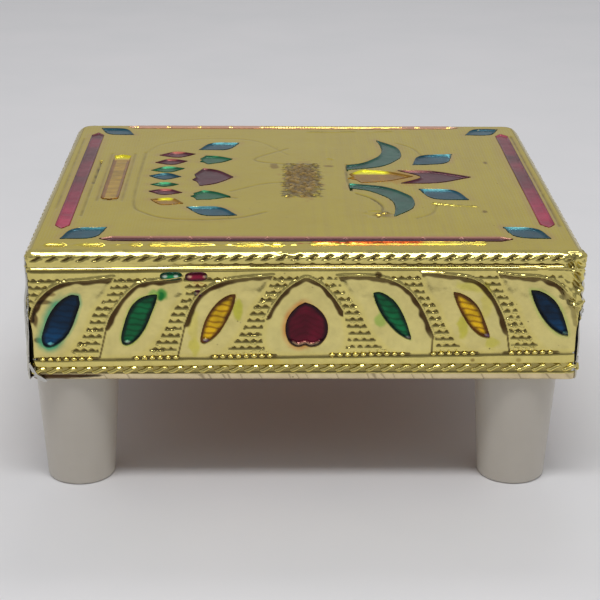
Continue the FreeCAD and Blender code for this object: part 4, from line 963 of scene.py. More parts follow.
def build_skirt(skirt):
    front_side = skirt.quarter == 0
    step_u, step_y = SKIRT_STEPS[skirt.quarter]
    rows, keep = profile_rows(step_y)
    outset, _, upright, upward = (column[:, None] for column in rows.T)
    u = np.linspace(skirt.first, skirt.last, int(round((skirt.last - skirt.first) / step_u)) + 1)
    grid_u, drop = np.meshgrid(u, rows[:, 1])
    grid_y = -drop
    height, shade, clear = skirt_relief(skirt, grid_u, grid_y)
    under = upward < -0.5
    fade = np.where(under, 0.3, soft((outset + 1.65) / 0.8))
    fade = np.where(np.isclose(rows[:, 1:2], 0.0), 0.0, fade)
    _, gathered, crease_shade = crumple(skirt, grid_u, grid_y)
    height = height * fade + gathered * fade
    if front_side:
        shade = shade * (1 - 0.55 * soft((grid_u - 70.0) / 3.0))
    shade = np.maximum(shade, crease_shade)
    shift, flare = corner_pull(skirt, grid_u, grid_y)
    px, py, nx, ny = skirt.plan(grid_u + shift)
    rounding = np.where(grid_u > 0, skirt.right_round, skirt.left_round)
    limit = np.where(np.abs(grid_u) > skirt.half - rounding, rounding * 0.98, skirt.half - np.abs(grid_u))
    outset = outset * np.where(under, np.minimum(1.0, limit / HEM_REACH), 1.0)

    def points(lift):
        out = outset + flare + upright * lift
        return np.stack([px + nx * out, py + ny * out, TOP - drop + upward * lift], -1)

    front = points(height)
    thin = -SKIN + (SKIN - 0.14) * soft(np.abs(flare) / 0.3)
    back = points(np.where(under, -0.35, thin))[keep]
    made = sheet_object("foil_skirt_%d" % skirt.quarter, front, back, keep, (gold_foil, silver_foil),
                        SILVER_ENDS.get(skirt.quarter, 0), FLAT_TO_BEND)
    along = np.concatenate([[0.0], np.cumsum(np.hypot(*np.diff(rows[:, :2], axis=0).T))])
    slope = -np.gradient(height, along, axis=0)
    # slopes that face downwards get painted shade too
    shade = np.maximum(shade, 0.6 * soft((slope - 0.8) / 0.6)) * upright
    colours = spotted_colours(grid_u, grid_y, FRONT_STAINS_AND_SHADE if front_side else ())
    if front_side:
        colours = halo_colours(grid_u, grid_y, colours)
    patchy = 0.07 * ripple(grid_u, grid_y, 2.6, 61) + 0.04 * ripple(grid_u, grid_y, 0.8, 62)
    colours = colours * (0.9 + patchy)[..., None]
    colours = colours * (1 + 0.12 * soft(-clear / 1.5)[..., None] * np.array((0.0, 0.1, 1.4)))
    colours = colours * mixed(1.0, soft((-35.9 - grid_y) / 0.4) * soft(2 * upright), HEM_PALE)
    paint(made, "stain_and_shade", painted_shade_on(colours, shade).reshape(-1, 3))
    print(made.name, len(made.data.polygons), "faces")
    return made


skirt_pieces = [build_skirt(skirt) for skirt in skirts]

# %% [markdown]
# Two small things show where the foil parts at the front corners: a dark strip
# behind the gap, put there as the shade in it, and the tail of the left hem that
# was tucked round the corner and came loose.

# %% Corner gap shades, the loose tab and the side edge
# a dark matte finish that stands in for the shade inside the gaps
gap_shade = Finish("gap_shade_dark", Roughness=0.9)
gap_shade.use("Base Color", gap_shade.mix(gap_shade.grain(400.0), tone(14, 12, 10), tone(30, 26, 22)))
GAP_SHADE_REACH = 3.2


def corner_gap_shade(name, first, second):
    """A thin dark strip, standing in for the shade in the gap, that hugs a corner from the end of one skirt
    to the start of the next.
    """
    y = np.linspace(-11.0, -TALL + 3.4, 9)
    columns = [(first, u) for u in np.linspace(first.last - GAP_SHADE_REACH, first.last, 7)]
    columns += [(second, u) for u in np.linspace(second.first, second.first + GAP_SHADE_REACH, 7)[1:]]

    def grid(height):
        return np.stack([skirt.place(np.full_like(y, u), y, height) for skirt, u in columns], 1)

    return sheet_object(name, grid(-0.5), grid(-0.72), list(range(len(y))), (gap_shade.material, gap_shade.material))


gap_shades = [corner_gap_shade("corner_gap_shade_left", skirts[3], skirts[0]),
           corner_gap_shade("corner_gap_shade_right", skirts[0], skirts[1])]

TAB = ((-77.0, -32.6), (-76.0, -34.4), (-74.6, -36.1), (-73.0, -37.3), (-72.1, -38.0), (-72.5, -38.5),
       (-74.2, -38.0), (-75.7, -36.7), (-76.7, -35.0), (-77.2, -33.6))


def loose_tab():
    """A folded sliver of foil: a flat outline with a crease, closed by a back."""
    outline = np.array(TAB)
    lean = 0.16 + 0.5 * soft((-36.0 - outline[:, 1]) / 3.0)
    spine = outline.mean(0)
    points = [(u, -HALF_Y - out, TOP + y) for (u, y), out in zip(outline, lean)]
    count = len(points)
    points.append((spine[0], -HALF_Y - 0.75, TOP + spine[1]))
    points += [(x, y + 0.12, z) for x, y, z in points]
    faces = []
    for k in range(count):
        after = (k + 1) % count
        faces += [(count, k, after), (2 * count + 1, count + 1 + after, count + 1 + k),
                  (k, count + 1 + k, count + 1 + after, after)]
    mesh = bpy.data.meshes.new("hem_corner_tab")
    mesh.from_pydata([tuple(value * MM for value in point) for point in points], [], faces)
    return add_object("hem_corner_tab", mesh, silver_foil)


def side_edge():
    """The front end of the left side sheet, curled forward: a thin wavy ribbon."""
    y = np.linspace(-1.9, -TALL + 1.4, 70)
    open_down = soft((-y - 8.0) / 8.0)
    left = -HALF_X - 0.05 - 0.75 * open_down
    left += 0.14 * ripple(0 * y, y, 5.0, 81) + 0.08 * ripple(0 * y, y, 1.6, 82)
    wide = 0.66 + 0.16 * ripple(0 * y, y, 3.1, 83)
    share = np.linspace(0.0, 1.0, 4)[None, :]
    x = left[:, None] + wide[:, None] * share
    wavy = 0.12 * ripple(x * 2.0, y[:, None] + 0 * x, 1.9, 84)
    deep = -HALF_Y + 1.3 - 0.35 * np.sin(share * math.pi) + wavy
    front = np.stack([x, deep + 0 * x, TOP + y[:, None] + 0 * x], -1)
    back = front[::3] + (0.0, 0.14, 0.0)
    return sheet_object("side_edge_left", front, back, list(range(0, 70, 3)), (silver_foil, silver_foil))


tab_piece = loose_tab()
edge_piece = side_edge()
print("corner pieces:", [piece.name for piece in (*gap_shades, tab_piece, edge_piece)])

# %% [markdown]
# ## The top of the foil
# The top carries a border of bars and corner leaves round a water pot that lies
# on its side. Faint lines were pressed round the figures, and the neck of the
# pot is a rough patch of little strokes.

# %% Pressed lines of the top
TOP_GROOVES = (
    # points, half width, depth
    (((-64.8, 22.0), (-64.9, -37.0)), 0.4, 0.14),
    (((-64.8, 22.0), (-64.9, -3.0)), 0.25, 0.42),
    (((-73.4, 50.0), (-73.0, -30.0)), 0.4, 0.12),
    (((-51.0, 32.0), (-51.2, 0.0), (-50.4, -26.0), (-46.8, -34.0), (-40.0, -39.4), (-30.0, -40.6),
      (-19.0, -38.6), (-11.0, -33.0)), 0.5, 0.12),
    (((-51.0, 32.0), (-47.0, 42.0), (-38.0, 48.6), (-26.0, 50.6), (-14.0, 47.0), (-4.0, 30.0)), 0.5, 0.05),
    (((-62.0, 31.0), (-61.9, -22.0)), 0.5, 0.1),
    (((-54.4, 31.0), (-54.3, -22.0)), 0.5, 0.1),
    (((15.0, 18.0), (14.4, 4.0), (15.2, -11.0)), 0.45, 0.25),
    (((16.5, -14.0), (21.0, -19.5), (23.6, -27.0), (23.2, -33.0)), 0.4, 0.25),
    (((-4.0, 38.0), (-15.0, 24.0), (-5.0, 18.0)), 0.5, 0.1),
    (((-22.0, -12.0), (-12.0, -4.0), (-5.0, -2.0)), 0.4, 0.1),
    (((-24.0, -17.0), (-20.0, -19.0)), 0.4, 0.12),
    (((73.4, 54.0), (73.6, -46.0)), 0.4, 0.2),
    (((33.0, 45.0), (38.0, 38.0), (40.5, 28.0)), 0.4, 0.1),
    (((33.0, -39.0), (38.0, -34.0), (40.5, -24.0)), 0.4, 0.1),
)
TOP_RIDGES = (
    (((39.0, -24.2), (45.0, -26.2), (52.0, -27.4)), 0.7, 0.34),
    (((-72.0, -63.6), (-35.0, -63.4), (-3.0, -63.2)), 0.9, 0.42),
    (((2.0, -62.2), (28.0, -61.8), (50.0, -62.0)), 0.9, 0.42),
    (((3.0, 59.5), (38.0, 61.0)), 0.6, 0.15),
    (((9.0, 25.5), (10.4, 24.6)), 0.8, 0.3),
    (((-5.6, -17.0), (-4.4, -17.6)), 0.8, 0.3),
)
TOP_STAINS = (
    ((0.0, 1.0), (5.4, 18.0), (0.84, 0.6, 0.85), 0.8),
    ((32.0, 3.5), (6.5, 7.5), (0.95, 0.62, 0.25), 0.7),
    ((18.0, -62.0), (18.0, 0.5), (0.8, 0.08, 0.06), 0.9),
    ((-31.0, -40.0), (14.0, 3.0), (0.9, 0.78, 0.6), 0.3),
    ((60.4, 21.0), (0.7, 1.5), (0.3, 0.2, 0.1), 0.8),
    ((53.6, -32.5), (0.9, 1.2), (0.3, 0.2, 0.1), 0.8),
    ((-8.6, 16.0), (1.3, 3.2), (0.45, 0.32, 0.18), 0.8),
    ((9.0, 16.2), (1.6, 1.0), (0.45, 0.32, 0.18), 0.8),
    ((23.0, -35.5), (3.0, 2.0), (0.45, 0.34, 0.2), 0.6),
)


def hatch(x, y):
    """Rough strokes on the neck of the pot."""
    spike = 1.8 * np.abs(np.mod(y / 2.4, 1.0) - 0.5) + 0.5 * ripple(x, y, 2.0, 7)
    patch = shelf(x, -4.6 - 1.6 * spike, 4.8 + 1.8 * spike, 0.5) * shelf(y, -17.5, 18.5, 1.2)
    falling = ripple(x + 0.6 * y, 0.5 * y - 0.3 * x, 1.0, 5)
    rising = ripple(x - 0.7 * y, 0.5 * y + 0.3 * x, 1.1, 6)
    return patch, np.minimum(1.8 * np.abs(falling * rising) ** 0.5, 1.0)


def top_relief(x, y):
    """Height of the foil on the top, and the shade painted in its lines and strokes, darker on the crushed
    spot's folds.
    """
    shade_and_grime = np.zeros_like(x)
    height = 0.07 * ripple(x, y, 23.0, 1) + 0.02 * ripple(x, y, 4.0, 2) + 0.01 * ripple(x, y, 1.3, 3)
    for points, half, depth in TOP_GROOVES:
        mark = ridge(distance_to(x, y, curve_through(points, 5)), half + 0.25)
        height -= 1.5 * depth * mark
        # painted shade in each pressed line
        shade_and_grime = np.maximum(shade_and_grime, 3.8 * depth * mark * (0.75 + 0.4 * ripple(x, y, 2.5, 12)))
    broken = soft(1.1 + 1.2 * ripple(x, 0.4 * y, 2.6, 4))
    ridged = np.zeros_like(x)
    for points, half, rise in TOP_RIDGES:
        away = distance_to(x, y, curve_through(points, 5))
        mark = ridge(away, half)
        height = height * (1 - soft(2.5 * mark)) + 1.3 * rise * broken * mark
        ridged = np.minimum(ridged + soft(1.6 - away), 1.0)
    patch, strokes = hatch(x, y)
    height += 0.5 * patch * (strokes - 0.3)
    # painted shade between the strokes
    shade_and_grime = np.maximum(shade_and_grime, patch * (1.05 - strokes))
    ribs = shelf(x, -60.2, -55.9, 0.4) * shelf(y, -21.0, 28.0, 0.6)
    height += ribs * (0.16 * np.abs(np.sin(y * math.pi / 1.05)) - 0.2)
    lined = (0.35 + 0.65 * soft((x + 5) / 20)) * shelf(y, -58.0, 62.0, 3.0) * (1 - ridged)
    height += 0.016 * lined * np.sin(x * math.tau / 1.02 + 0.6 * ripple(x, y, 9.0, 8))
    crushed, folds = spot(x, y, (22.5, -35.0), (5.0, 4.0), 1.2), ripple(x, y, 1.3, 9)
    height += 0.45 * crushed * folds
    # darker on the raised folds of the crushed spot
    shade_and_grime = np.maximum(shade_and_grime, 0.6 * crushed * soft(2.5 * folds))
    for _, outline, _ in top_outlines:
        height -= 0.55 * soft((depth_inside(x, y, outline) - 0.02) / 0.4)
    edge = np.minimum(HALF_X - SEAM - np.abs(x), HALF_Y - SEAM - np.abs(y))
    return np.maximum(height, LOWEST_FOIL) * soft(edge / 1.2), shade_and_grime


# %% Build the top sheet
TOP_STEP_X, TOP_STEP_Y = 0.44, 0.56
FINE_ROWS = (-65.0, -60.9, 0.14)
TUCK = 0.25


def top_rows(y_end):
    """Rows from front to rear, fine under the thin dashes along the front edge."""
    inner = y_end - TUCK - 0.01
    y, fine = np.linspace(-inner, inner, int(round(2 * inner / TOP_STEP_Y)) + 1), np.arange(*FINE_ROWS)
    return np.concatenate([[-y_end], y[y < fine[0] - 0.1], fine, y[y > fine[-1] + 0.1], [y_end]])


def build_top():
    x_end, y_end = HALF_X - SEAM + TUCK, HALF_Y - SEAM + TUCK
    y, columns = top_rows(y_end), int(round(2 * x_end / TOP_STEP_X)) + 1
    width = np.full_like(y, x_end)
    for sign, radius in ((-1, FRONT_RADIUS), (1, REAR_RADIUS)):
        small = radius - SEAM + TUCK
        over = np.clip(sign * y - (y_end - small), 0.0, small)
        width = np.minimum(width, x_end - small + np.sqrt(small ** 2 - over ** 2))
    grid_x = np.linspace(-1.0, 1.0, columns)[None, :] * width[:, None]
    grid_y = np.repeat(y[:, None], columns, 1)
    height, shade_and_grime = top_relief(grid_x, grid_y)
    border = np.minimum(x_end - np.abs(grid_x), y_end - np.abs(grid_y))
    z = TOP + height - 0.05 * (1 - soft(border / TUCK))
    front = np.stack([grid_x, grid_y, z], -1)[::-1]
    keep = [*range(0, len(y) - 1, 30), len(y) - 1]
    back = front[keep].copy()
    back[..., 2] = TOP - SKIN
    made = sheet_object("foil_top", front, back, keep, (top_foil, silver_foil))
    haze = np.zeros_like(grid_x)
    for _, outline, _ in top_outlines:
        haze = np.maximum(haze, soft(1.05 + depth_inside(grid_x, grid_y, outline) / 3.0))
    haze *= 0.6 + 0.4 * ripple(grid_x, grid_y, 5.0, 92)
    colours = painted_shade_on(spotted_colours(grid_x, grid_y, TOP_STAINS), 0.8 * shade_and_grime)
    colours = colours * mixed(1.0, haze, (0.93, 0.82, 1.5))
    streak = ripple(grid_x, grid_y * 0.06, 1.0, 93) * (0.3 + 0.7 * soft((grid_x + 5) / 20))
    colours = colours * (1 + streak[..., None] * np.array((0.035, 0.045, -0.13)))
    paint(made, "stain_and_shade", colours[::-1].reshape(-1, 3))
    print(made.name, len(made.data.polygons), "faces")
    return made


top_piece = build_top()

# %% [markdown]
# ## Lacquer
# Lacquer was poured into each pocket and pulled up its walls a little. Each
# figure is filled with triangles, thick at the edge and ribbed by the leaf veins
# pressed into the foil under it.


# %% Lacquer patches
RIM_RINGS = (0.2, 0.42)


def lacquer_patch(outline, spacing):
    """Points and triangles that fill an outline, with each point's depth inside."""
    low, high = outline.min(0), outline.max(0)
    x, y = np.meshgrid(np.arange(low[0] + spacing / 2, high[0], spacing),
                       np.arange(low[1] + spacing / 2, high[1], spacing))
    x[1::2] += spacing / 2
    after = np.roll(outline, -1, axis=0)
    run = after - np.roll(outline, 1, axis=0)
    run /= np.maximum(np.hypot(run[:, 0], run[:, 1]), 1e-9)[:, None]
    inward = np.stack([-run[:, 1], run[:, 0]], -1)
    if not is_inside(*(outline + inward * 0.05).T, outline).mean() > 0.5:
        inward = -inward

    def deep(points, least):
        """Those of the points that lie inside, and that far from the edge."""
        return points[is_inside(*points.T, outline) & (distance_to(*points.T, closed(outline)) > least)]

    rings = [deep(outline + inward * offset, offset * 0.93) for offset in RIM_RINGS]
    inner = deep(np.stack([x.ravel(), y.ravel()], -1), RIM_RINGS[-1] + spacing * 0.45)
    points = np.vstack([outline, *rings, inner])
    edges = [(k, (k + 1) % len(outline)) for k in range(len(outline))]
    found = delaunay_2d_cdt([Vector(p) for p in points], edges, [], 1, 1e-5)
    flat = np.array([(p.x, p.y) for p in found[0]])
    faces = [list(face) for face in found[2]]
    rim_of = {source: index for index, sources in enumerate(found[3]) for source in sources}
    rim = [rim_of[k] for k in range(len(outline))]
    (ax, ay), (bx, by), (cx, cy) = (flat[i] for i in faces[0])
    if (bx - ax) * (cy - ay) < (by - ay) * (cx - ax):
        faces = [face[::-1] for face in faces]
    if np.sum(outline[:, 0] * after[:, 1] - after[:, 0] * outline[:, 1]) < 0:
        rim = rim[::-1]
    return flat, faces, rim, distance_to(*flat.T, closed(outline))


class Pool:
    """Gathers the patches of one colour into one mesh."""

    def __init__(self):
        self.points, self.faces, self.depths, self.tints = [], [], [], []

    def add(self, outline, to_space, surface, spacing, tint, thick, more=0.0):
        flat, faces, rim, depth = lacquer_patch(outline, spacing)
        x, y = flat.T
        height = surface(x, y, depth)
        start, low, count = len(self.points), len(self.points) + len(flat), len(rim)
        self.points += to_space(x, y, height).tolist()
        self.points += to_space(x[rim], y[rim], height[rim] - thick).tolist()
        self.faces += [[start + i for i in face] for face in faces]
        for k in range(count):
            after = (k + 1) % count
            self.faces.append([start + rim[k], low + k, low + after, start + rim[after]])
        self.faces.append([low + k for k in range(count)][::-1])
        self.depths += (depth + more).tolist() + [0.0] * count
        far = is_inside(x, y - 0.5, outline) & ~is_inside(x, y + 0.75, outline)
        self.tints += tint(x, y, depth, far).tolist() + [(1.0, 1.0, 1.0)] * count

    def build(self, name, material):
        mesh = bpy.data.meshes.new(name)
        mesh.from_pydata((np.array(self.points) * MM).tolist(), [], self.faces)
        mesh.polygons.foreach_set("use_smooth", [len(face) == 3 for face in self.faces])
        made = add_object(name, mesh, material)
        depth = mesh.attributes.new("depth", "FLOAT", "POINT")
        depth.data.foreach_set("value", np.array(self.depths, np.float32))
        paint(made, "tint", np.array(self.tints, np.float32))
        mesh.update()
        print(name, len(self.points), "points,", len(self.faces), "faces")
        return made


# %% [markdown]
# Lacquer over foil glows like a boiled sweet: light goes through the colour,
# off the metal and out again. A coloured metal under a clear coat does the same
# at no cost. The colour is darker where the lacquer pooled thick at the edge.

# %% Lacquer materials
LACQUERS = {
    # centre, edge
    "red": (tone(108, 10, 38), tone(48, 4, 18)),
    "blue": (tone(3, 50, 100), tone(1, 16, 32)),
    "green": (tone(8, 118, 66), tone(2, 40, 26)),
    "yellow": (tone(226, 180, 20), tone(96, 56, 8)),
}


def lacquer_finish(colour):
    centre, edge = LACQUERS[colour]
    finish = Finish(colour + "_lacquer", Metallic=0.45, Specular_IOR_Level=0.15, Coat_Weight=0.25,
                    Coat_Roughness=0.05, Coat_IOR=1.5)
    pooled = maths(finish.tree, "ADD", finish.stored("depth", "Fac"), finish.cloud(300.0, -0.25, 0.25))
    body = finish.mix(finish.remap(pooled, 0.45, 1.3), edge, centre)
    finish.use("Base Color", finish.mix(1.0, body, finish.stored("tint"), "MULTIPLY"))
    finish.use("Roughness", finish.cloud(700.0, 0.14, 0.26))
    finish.bump(finish.grain(500.0, 2.0), 0.00008, 0.3)
    return finish.material


# %% [markdown]
# No figure is evenly coloured. Veins show through as thin lines, the drop at the
# lower end gets a painted highlight, and on the top a highlight is painted on the
# far wall of a pocket. A tint is a factor on the lacquer's own colour, worked out
# at each point.

# %% Tints of the lacquer
# painted highlight colours: GLINTS on the drops of the skirt figures, the next table on the blobs
GLINTS = {"red": (1.0, 0.45, 0.3), "blue": (0.2, 0.75, 0.85), "green": (0.5, 0.9, 0.6),
          "yellow": (0.95, 0.85, 0.45)}
BLOB_GLINTS = {"green": (0.8, 1.0, 0.8), "red": (0.9, 0.45, 0.3)}
GLINT_PLACES = {"green": (0.22, 0.72), "red": (0.2, 0.9)}
SKIRT_LEVELS = {"red": 0.75, "blue": np.array((0.3, 0.72, 0.5)), "green": 0.75, "yellow": 1.1}
# share of the far wall's painted highlight kept on each bar
CRESTS = {"rose": 0.3, "copper": 1.0, "salmon": 1.0, "straw": 0.0}
VEIN_PITCH, VEIN_PLACE = 1.75, 0.9


def lit(colours, share, colour, shown):
    """Colour factors that bring a lacquer to one shown colour where share is one."""
    return mixed(colours, share, np.array(shown) / np.array(LACQUERS[colour][0][:3]))


def blob_tint(colour):
    """A bright drop of lacquer with two painted highlights."""
    def tint(x, y, depth, far):
        middle, share = (y.max() + y.min()) / 2 + 0.1, np.zeros(len(x))
        for place in GLINT_PLACES[colour]:
            centre = x.min() + place * (x.max() - x.min())
            share = np.maximum(share, spot(x, y, (centre, middle), (0.8, 0.5), edge=0.4))
        return lit(np.full((len(x), 3), 2.0), share, colour, BLOB_GLINTS[colour])
    return tint


def lower_end(outline):
    """Middle of the drop that hangs at the lower end of a leaf."""
    foot = outline[outline[:, 1].argmin()]
    inward = outline.mean(0) - foot
    return foot + inward / np.hypot(*inward) * 1.15


def veined_tint(colour, outline):
    """Thin darker lines where the veins show through, and a painted highlight on the drop."""
    foot, lowest, middle = lower_end(outline), outline[:, 1].min(), outline[:, 1].mean()

    def tint(x, y, depth, far):
        slope = 0.5 * np.abs(x) if colour == "red" else 0.12 * x
        wave = np.mod(y + slope + 0.14 * np.sin(1.6 * x + y), VEIN_PITCH) - VEIN_PLACE
        line = ridge(wave, 0.5) * soft((depth - 0.45) / 0.3)
        low = soft((middle - y) / 5.0)
        patch = 1.0 + 0.35 * ripple(x, y, 2.4, 18) + (1.5 * low - 0.2 if colour == "blue" else 0.2 * low)
        colours = mixed(1.0, line, VEIN_TINTS[colour]) * patch[:, None] * SKIRT_LEVELS[colour]
        # the glint is a painted highlight: along the lower rim of the heart, on the drop of a leaf
        if colour == "red":
            glint = soft((lowest + 1.7 - y) / 0.3) * soft((depth - 0.4) / 0.15) * soft((1.1 - depth) / 0.15)
            glint = glint * soft(1.2 + ripple(x, y, 1.3, 22))
        else:
            glint = spot(x, y, foot - (0.0, 0.15), (0.95, 0.55), edge=0.35)
        return lit(colours, glint, colour, GLINTS[colour])
    return tint


def top_tint(colour, name):
    """On the top the colour is thin and pale, with a painted highlight where it climbs the far wall."""
    def tint(x, y, depth, far):
        cloud = 1.0 + 0.22 * ripple(x, y, 5.0, 16) + 0.14 * ripple(x, y, 1.6, 17)
        # the far wall gets a painted highlight, only near the figure's highest edge
        crest = soft((y - y.max() + 0.9) / 0.35) * soft(1.0 + 1.2 * ripple(x + 3.0, y, 5.5, 20))
        crest = CRESTS.get(name, crest * (y.max() < 50))
        wall = far * soft(((0.4 if name == "copper" else 0.75) - depth) / 0.2) * crest
        shine = cloud * (1.0 - 0.25 * soft(1.0 - depth / 0.5))
        colours = lit(shine[:, None] * np.array(TOP_TINTS[name]), wall, colour, WALL_HIGHLIGHTS[name])
        if name == "amber":
            # painted highlights: near the top of the small left petal and along the far edge of the coconut
            along = (x - x.min()) / (x.max() - x.min())
            left = soft((y - y.max() + 1.5) / 0.8) * shelf(along, 0.32, 0.58, 0.12) * (x < -30)
            right = soft((y - 7.4) / 1.4) * soft((29.0 - x) / 3.0) * (x > 0)
            colours = mixed(colours, np.maximum(left, right), (1.3, 2.0, 3.0))
        if name == "straw":
            rib = ridge(np.mod(y, 1.46) - 0.73, 0.5) * (y < 25.0) * soft((depth - 0.7) / 0.4)
            side = soft((1.2 - depth) / 0.4) * (y < 24.0)
            colours = colours * mixed(1.0, rib, (0.28, 0.2, 0.3)) * mixed(1.0, side, (0.5, 0.35, 0.8))
            colours = mixed(colours, soft(y - 25.2), (1.1, 1.6, 2.2))
        if name == "rose":
            hot, low = soft(0.4 + 1.3 * ripple(x, y, 9.0, 19))[:, None], soft((10.0 - y) / 40.0)[:, None]
            colours = colours * (0.72 + hot * np.array((0.75, 0.2, 0.4)) + low * np.array((1.5, -0.2, 0.7)))
        return colours
    return tint


# %% Surfaces of the lacquer
def skirt_surface(skirt, heart, outline):
    """Lacquer height on a skirt: climbing its wall, ribbed, with a drop at its lower end."""
    foot, lowest = lower_end(outline), outline[:, 1].min()

    def surface(u, y, depth):
        vein = y + (0.5 * np.abs(u) if heart else 0.08 * u)
        ribs = ridge(np.mod(vein, VEIN_PITCH) - VEIN_PLACE, 0.45) * soft((depth - 0.9) / 0.4)
        drop = spot(u, y, foot, (1.0, 0.85))
        if heart:
            drop = ridge(depth - 0.75, 0.7) * soft((lowest + 2.2 - y) / 0.8)
        ground = niche_floor(skirt, u, y)[0]
        return ground - 0.2 - 0.03 * ribs + 0.25 * (1 - soft(depth / 0.5)) ** 1.5 + 0.72 * drop
    return surface


def top_surface(x, y, depth):
    ground = 0.07 * ripple(x, y, 23.0, 1)
    return ground - 0.42 + 0.5 * np.clip(1 - depth / 0.56, 0.0, 1.0) + 0.02 * ripple(x, y, 2.0, 15)


def on_top(x, y, height):
    return np.stack([x, y, TOP + height], -1)


def blob_surface(u, y, depth):
    return 0.02 + 0.34 * soft(depth / 0.8) ** 0.5

# %% Pour the lacquer
FRONT_BLOBS = (
    # colour, u, y, long, tall
    ("green", -36.9, -7.1, 6.2, 2.5), ("red", -30.0, -7.2, 6.2, 2.7), ("red", -29.6, -12.1, 2.2, 2.2),
)
DROP = np.array([(math.copysign(abs(math.cos(a)) ** 0.6, math.cos(a)) / 2,
                  math.copysign(abs(math.sin(a)) ** 0.8, math.sin(a)) / 2)
                 for a in np.linspace(0, math.tau, 40, endpoint=False)])
TOP_SPACINGS = {"straw": 0.2, "copper": 0.3}

pools = {colour: Pool() for colour in LACQUERS}
for skirt in skirts:
    spacing = 0.28 if skirt.quarter == 0 else 0.5
    for colour, outline in skirt.figures:
        surface = skirt_surface(skirt, colour == "red", outline)
        pools[colour].add(outline, skirt.place, surface, spacing, veined_tint(colour, outline), 0.45)
for colour, u, y, long, tall in FRONT_BLOBS:
    drop = turned(DROP, u, y, long, tall, 2)
    pools[colour].add(drop, skirts[0].place, blob_surface, 0.3, blob_tint(colour), 0.3)
for colour, outline, name in top_outlines:
    spacing = TOP_SPACINGS.get(name, 0.5)
    pools[colour].add(outline, on_top, top_surface, spacing, top_tint(colour, name), 0.6, 2.0)
lacquer_pieces = {colour: pool.build(colour + "_lacquer_pools", lacquer_finish(colour))
                  for colour, pool in pools.items()}

# %% [markdown]
# ## Fish scales, beads and rope strands
# These repeat hundreds of times, so Geometry Nodes plant them. A mesh of loose
# points carries where each one goes, how it is turned and how large it is. The
# node tree shapes one scale, bead or strand, copies it to each point, and makes
# the copies real.


# %% A planting tree
def planting_tree(name, sizes, shape):
    """A tree that copies one shape to points; shape(tree, sizes) returns geometry."""
    tree = bpy.data.node_groups.new(name, "GeometryNodeTree")
    sockets = [("Geometry", "OUTPUT", "Geometry"), ("Points", "INPUT", "Geometry")]
    sockets += [(label, "INPUT", "Float") for label in sizes]
    sockets += [("Smooth", "INPUT", "Bool"), ("Finish", "INPUT", "Material")]
    for label, side, kind in sockets:
        tree.interface.new_socket(label, in_out=side, socket_type="NodeSocket" + kind)
    given = tree.nodes.new("NodeGroupInput").outputs
    facing, growth = (wire(tree, "GeometryNodeInputNamedAttribute", {"Name": label}, "Attribute",
                           data_type="FLOAT_VECTOR") for label in ("facing", "growth"))
    facing = wire(tree, "FunctionNodeEulerToRotation", {"Euler": facing})
    copies = wire(tree, "GeometryNodeInstanceOnPoints", {
        "Points": given["Points"], "Instance": shape(tree, given), "Rotation": facing, "Scale": growth})
    real = wire(tree, "GeometryNodeRealizeInstances", {"Geometry": copies})
    smooth = wire(tree, "GeometryNodeSetShadeSmooth", {"Geometry": real, "Shade Smooth": given["Smooth"]})
    coated = wire(tree, "GeometryNodeSetMaterial", {"Geometry": smooth, "Material": given["Finish"]})
    tree.links.new(coated, tree.nodes.new("NodeGroupOutput").inputs["Geometry"])
    return tree


def scaled(tree, shape, sizes, labels):
    """A shape stretched along its three axes by three of the tree's inputs."""
    scale = vector(tree, *(sizes[label] for label in labels))
    return wire(tree, "GeometryNodeTransform", {"Geometry": shape, "Scale": scale})


def leaned(tree, shape, **angles):
    return wire(tree, "GeometryNodeTransform", {"Geometry": shape, "Rotation": vector(tree, **angles)})


def plant(name, tree, places, sizes, material, smooth=True):
    """Run a planting tree on places (point, outward, along, growth); keep the mesh."""
    mesh = bpy.data.meshes.new(name + "_points")
    mesh.from_pydata([(Vector(point) * MM) for point, *_ in places], [], [])
    facing, growth = [], []
    for _, outward, along, grow in places:
        z = Vector(outward).normalized()
        x = (Vector(along) - Vector(along).dot(z) * z).normalized()
        facing += list(Matrix((x, z.cross(x), z)).transposed().to_euler())
        growth += list(grow)
    for label, values in (("facing", facing), ("growth", growth)):
        mesh.attributes.new(label, "FLOAT_VECTOR", "POINT").data.foreach_set("vector", values)
    seeds = add_object(name + "_seeds", mesh)
    modifier = seeds.modifiers.new("plant", "NODES")
    modifier.node_group = tree
    for item in tree.interface.items_tree:
        if item.item_type == "SOCKET" and item.in_out == "INPUT" and item.name != "Points":
            modifier[item.identifier] = {"Finish": material, "Smooth": smooth, **sizes}[item.name]
    seeds.update_tag()
    bpy.context.view_layer.update()
    evaluated = seeds.evaluated_get(bpy.context.evaluated_depsgraph_get())
    grown = bpy.data.meshes.new_from_object(evaluated)
    grown.name = name
    made = add_object(name, grown)
    bpy.data.objects.remove(seeds)
    print(name, len(places), "copies,", len(grown.polygons), "faces")
    return made


# %% [markdown]
# A fish scale is half of a flat disc with a bevelled edge: a very low cone with
# its tip cut off, whose upper half is pushed down onto one straight line. The
# scale thins to nothing along that line, so it grows out of the sheet.

# %% Plant the fish scales
SCALE_SIZES = ("Half Width", "Length", "Thickness")


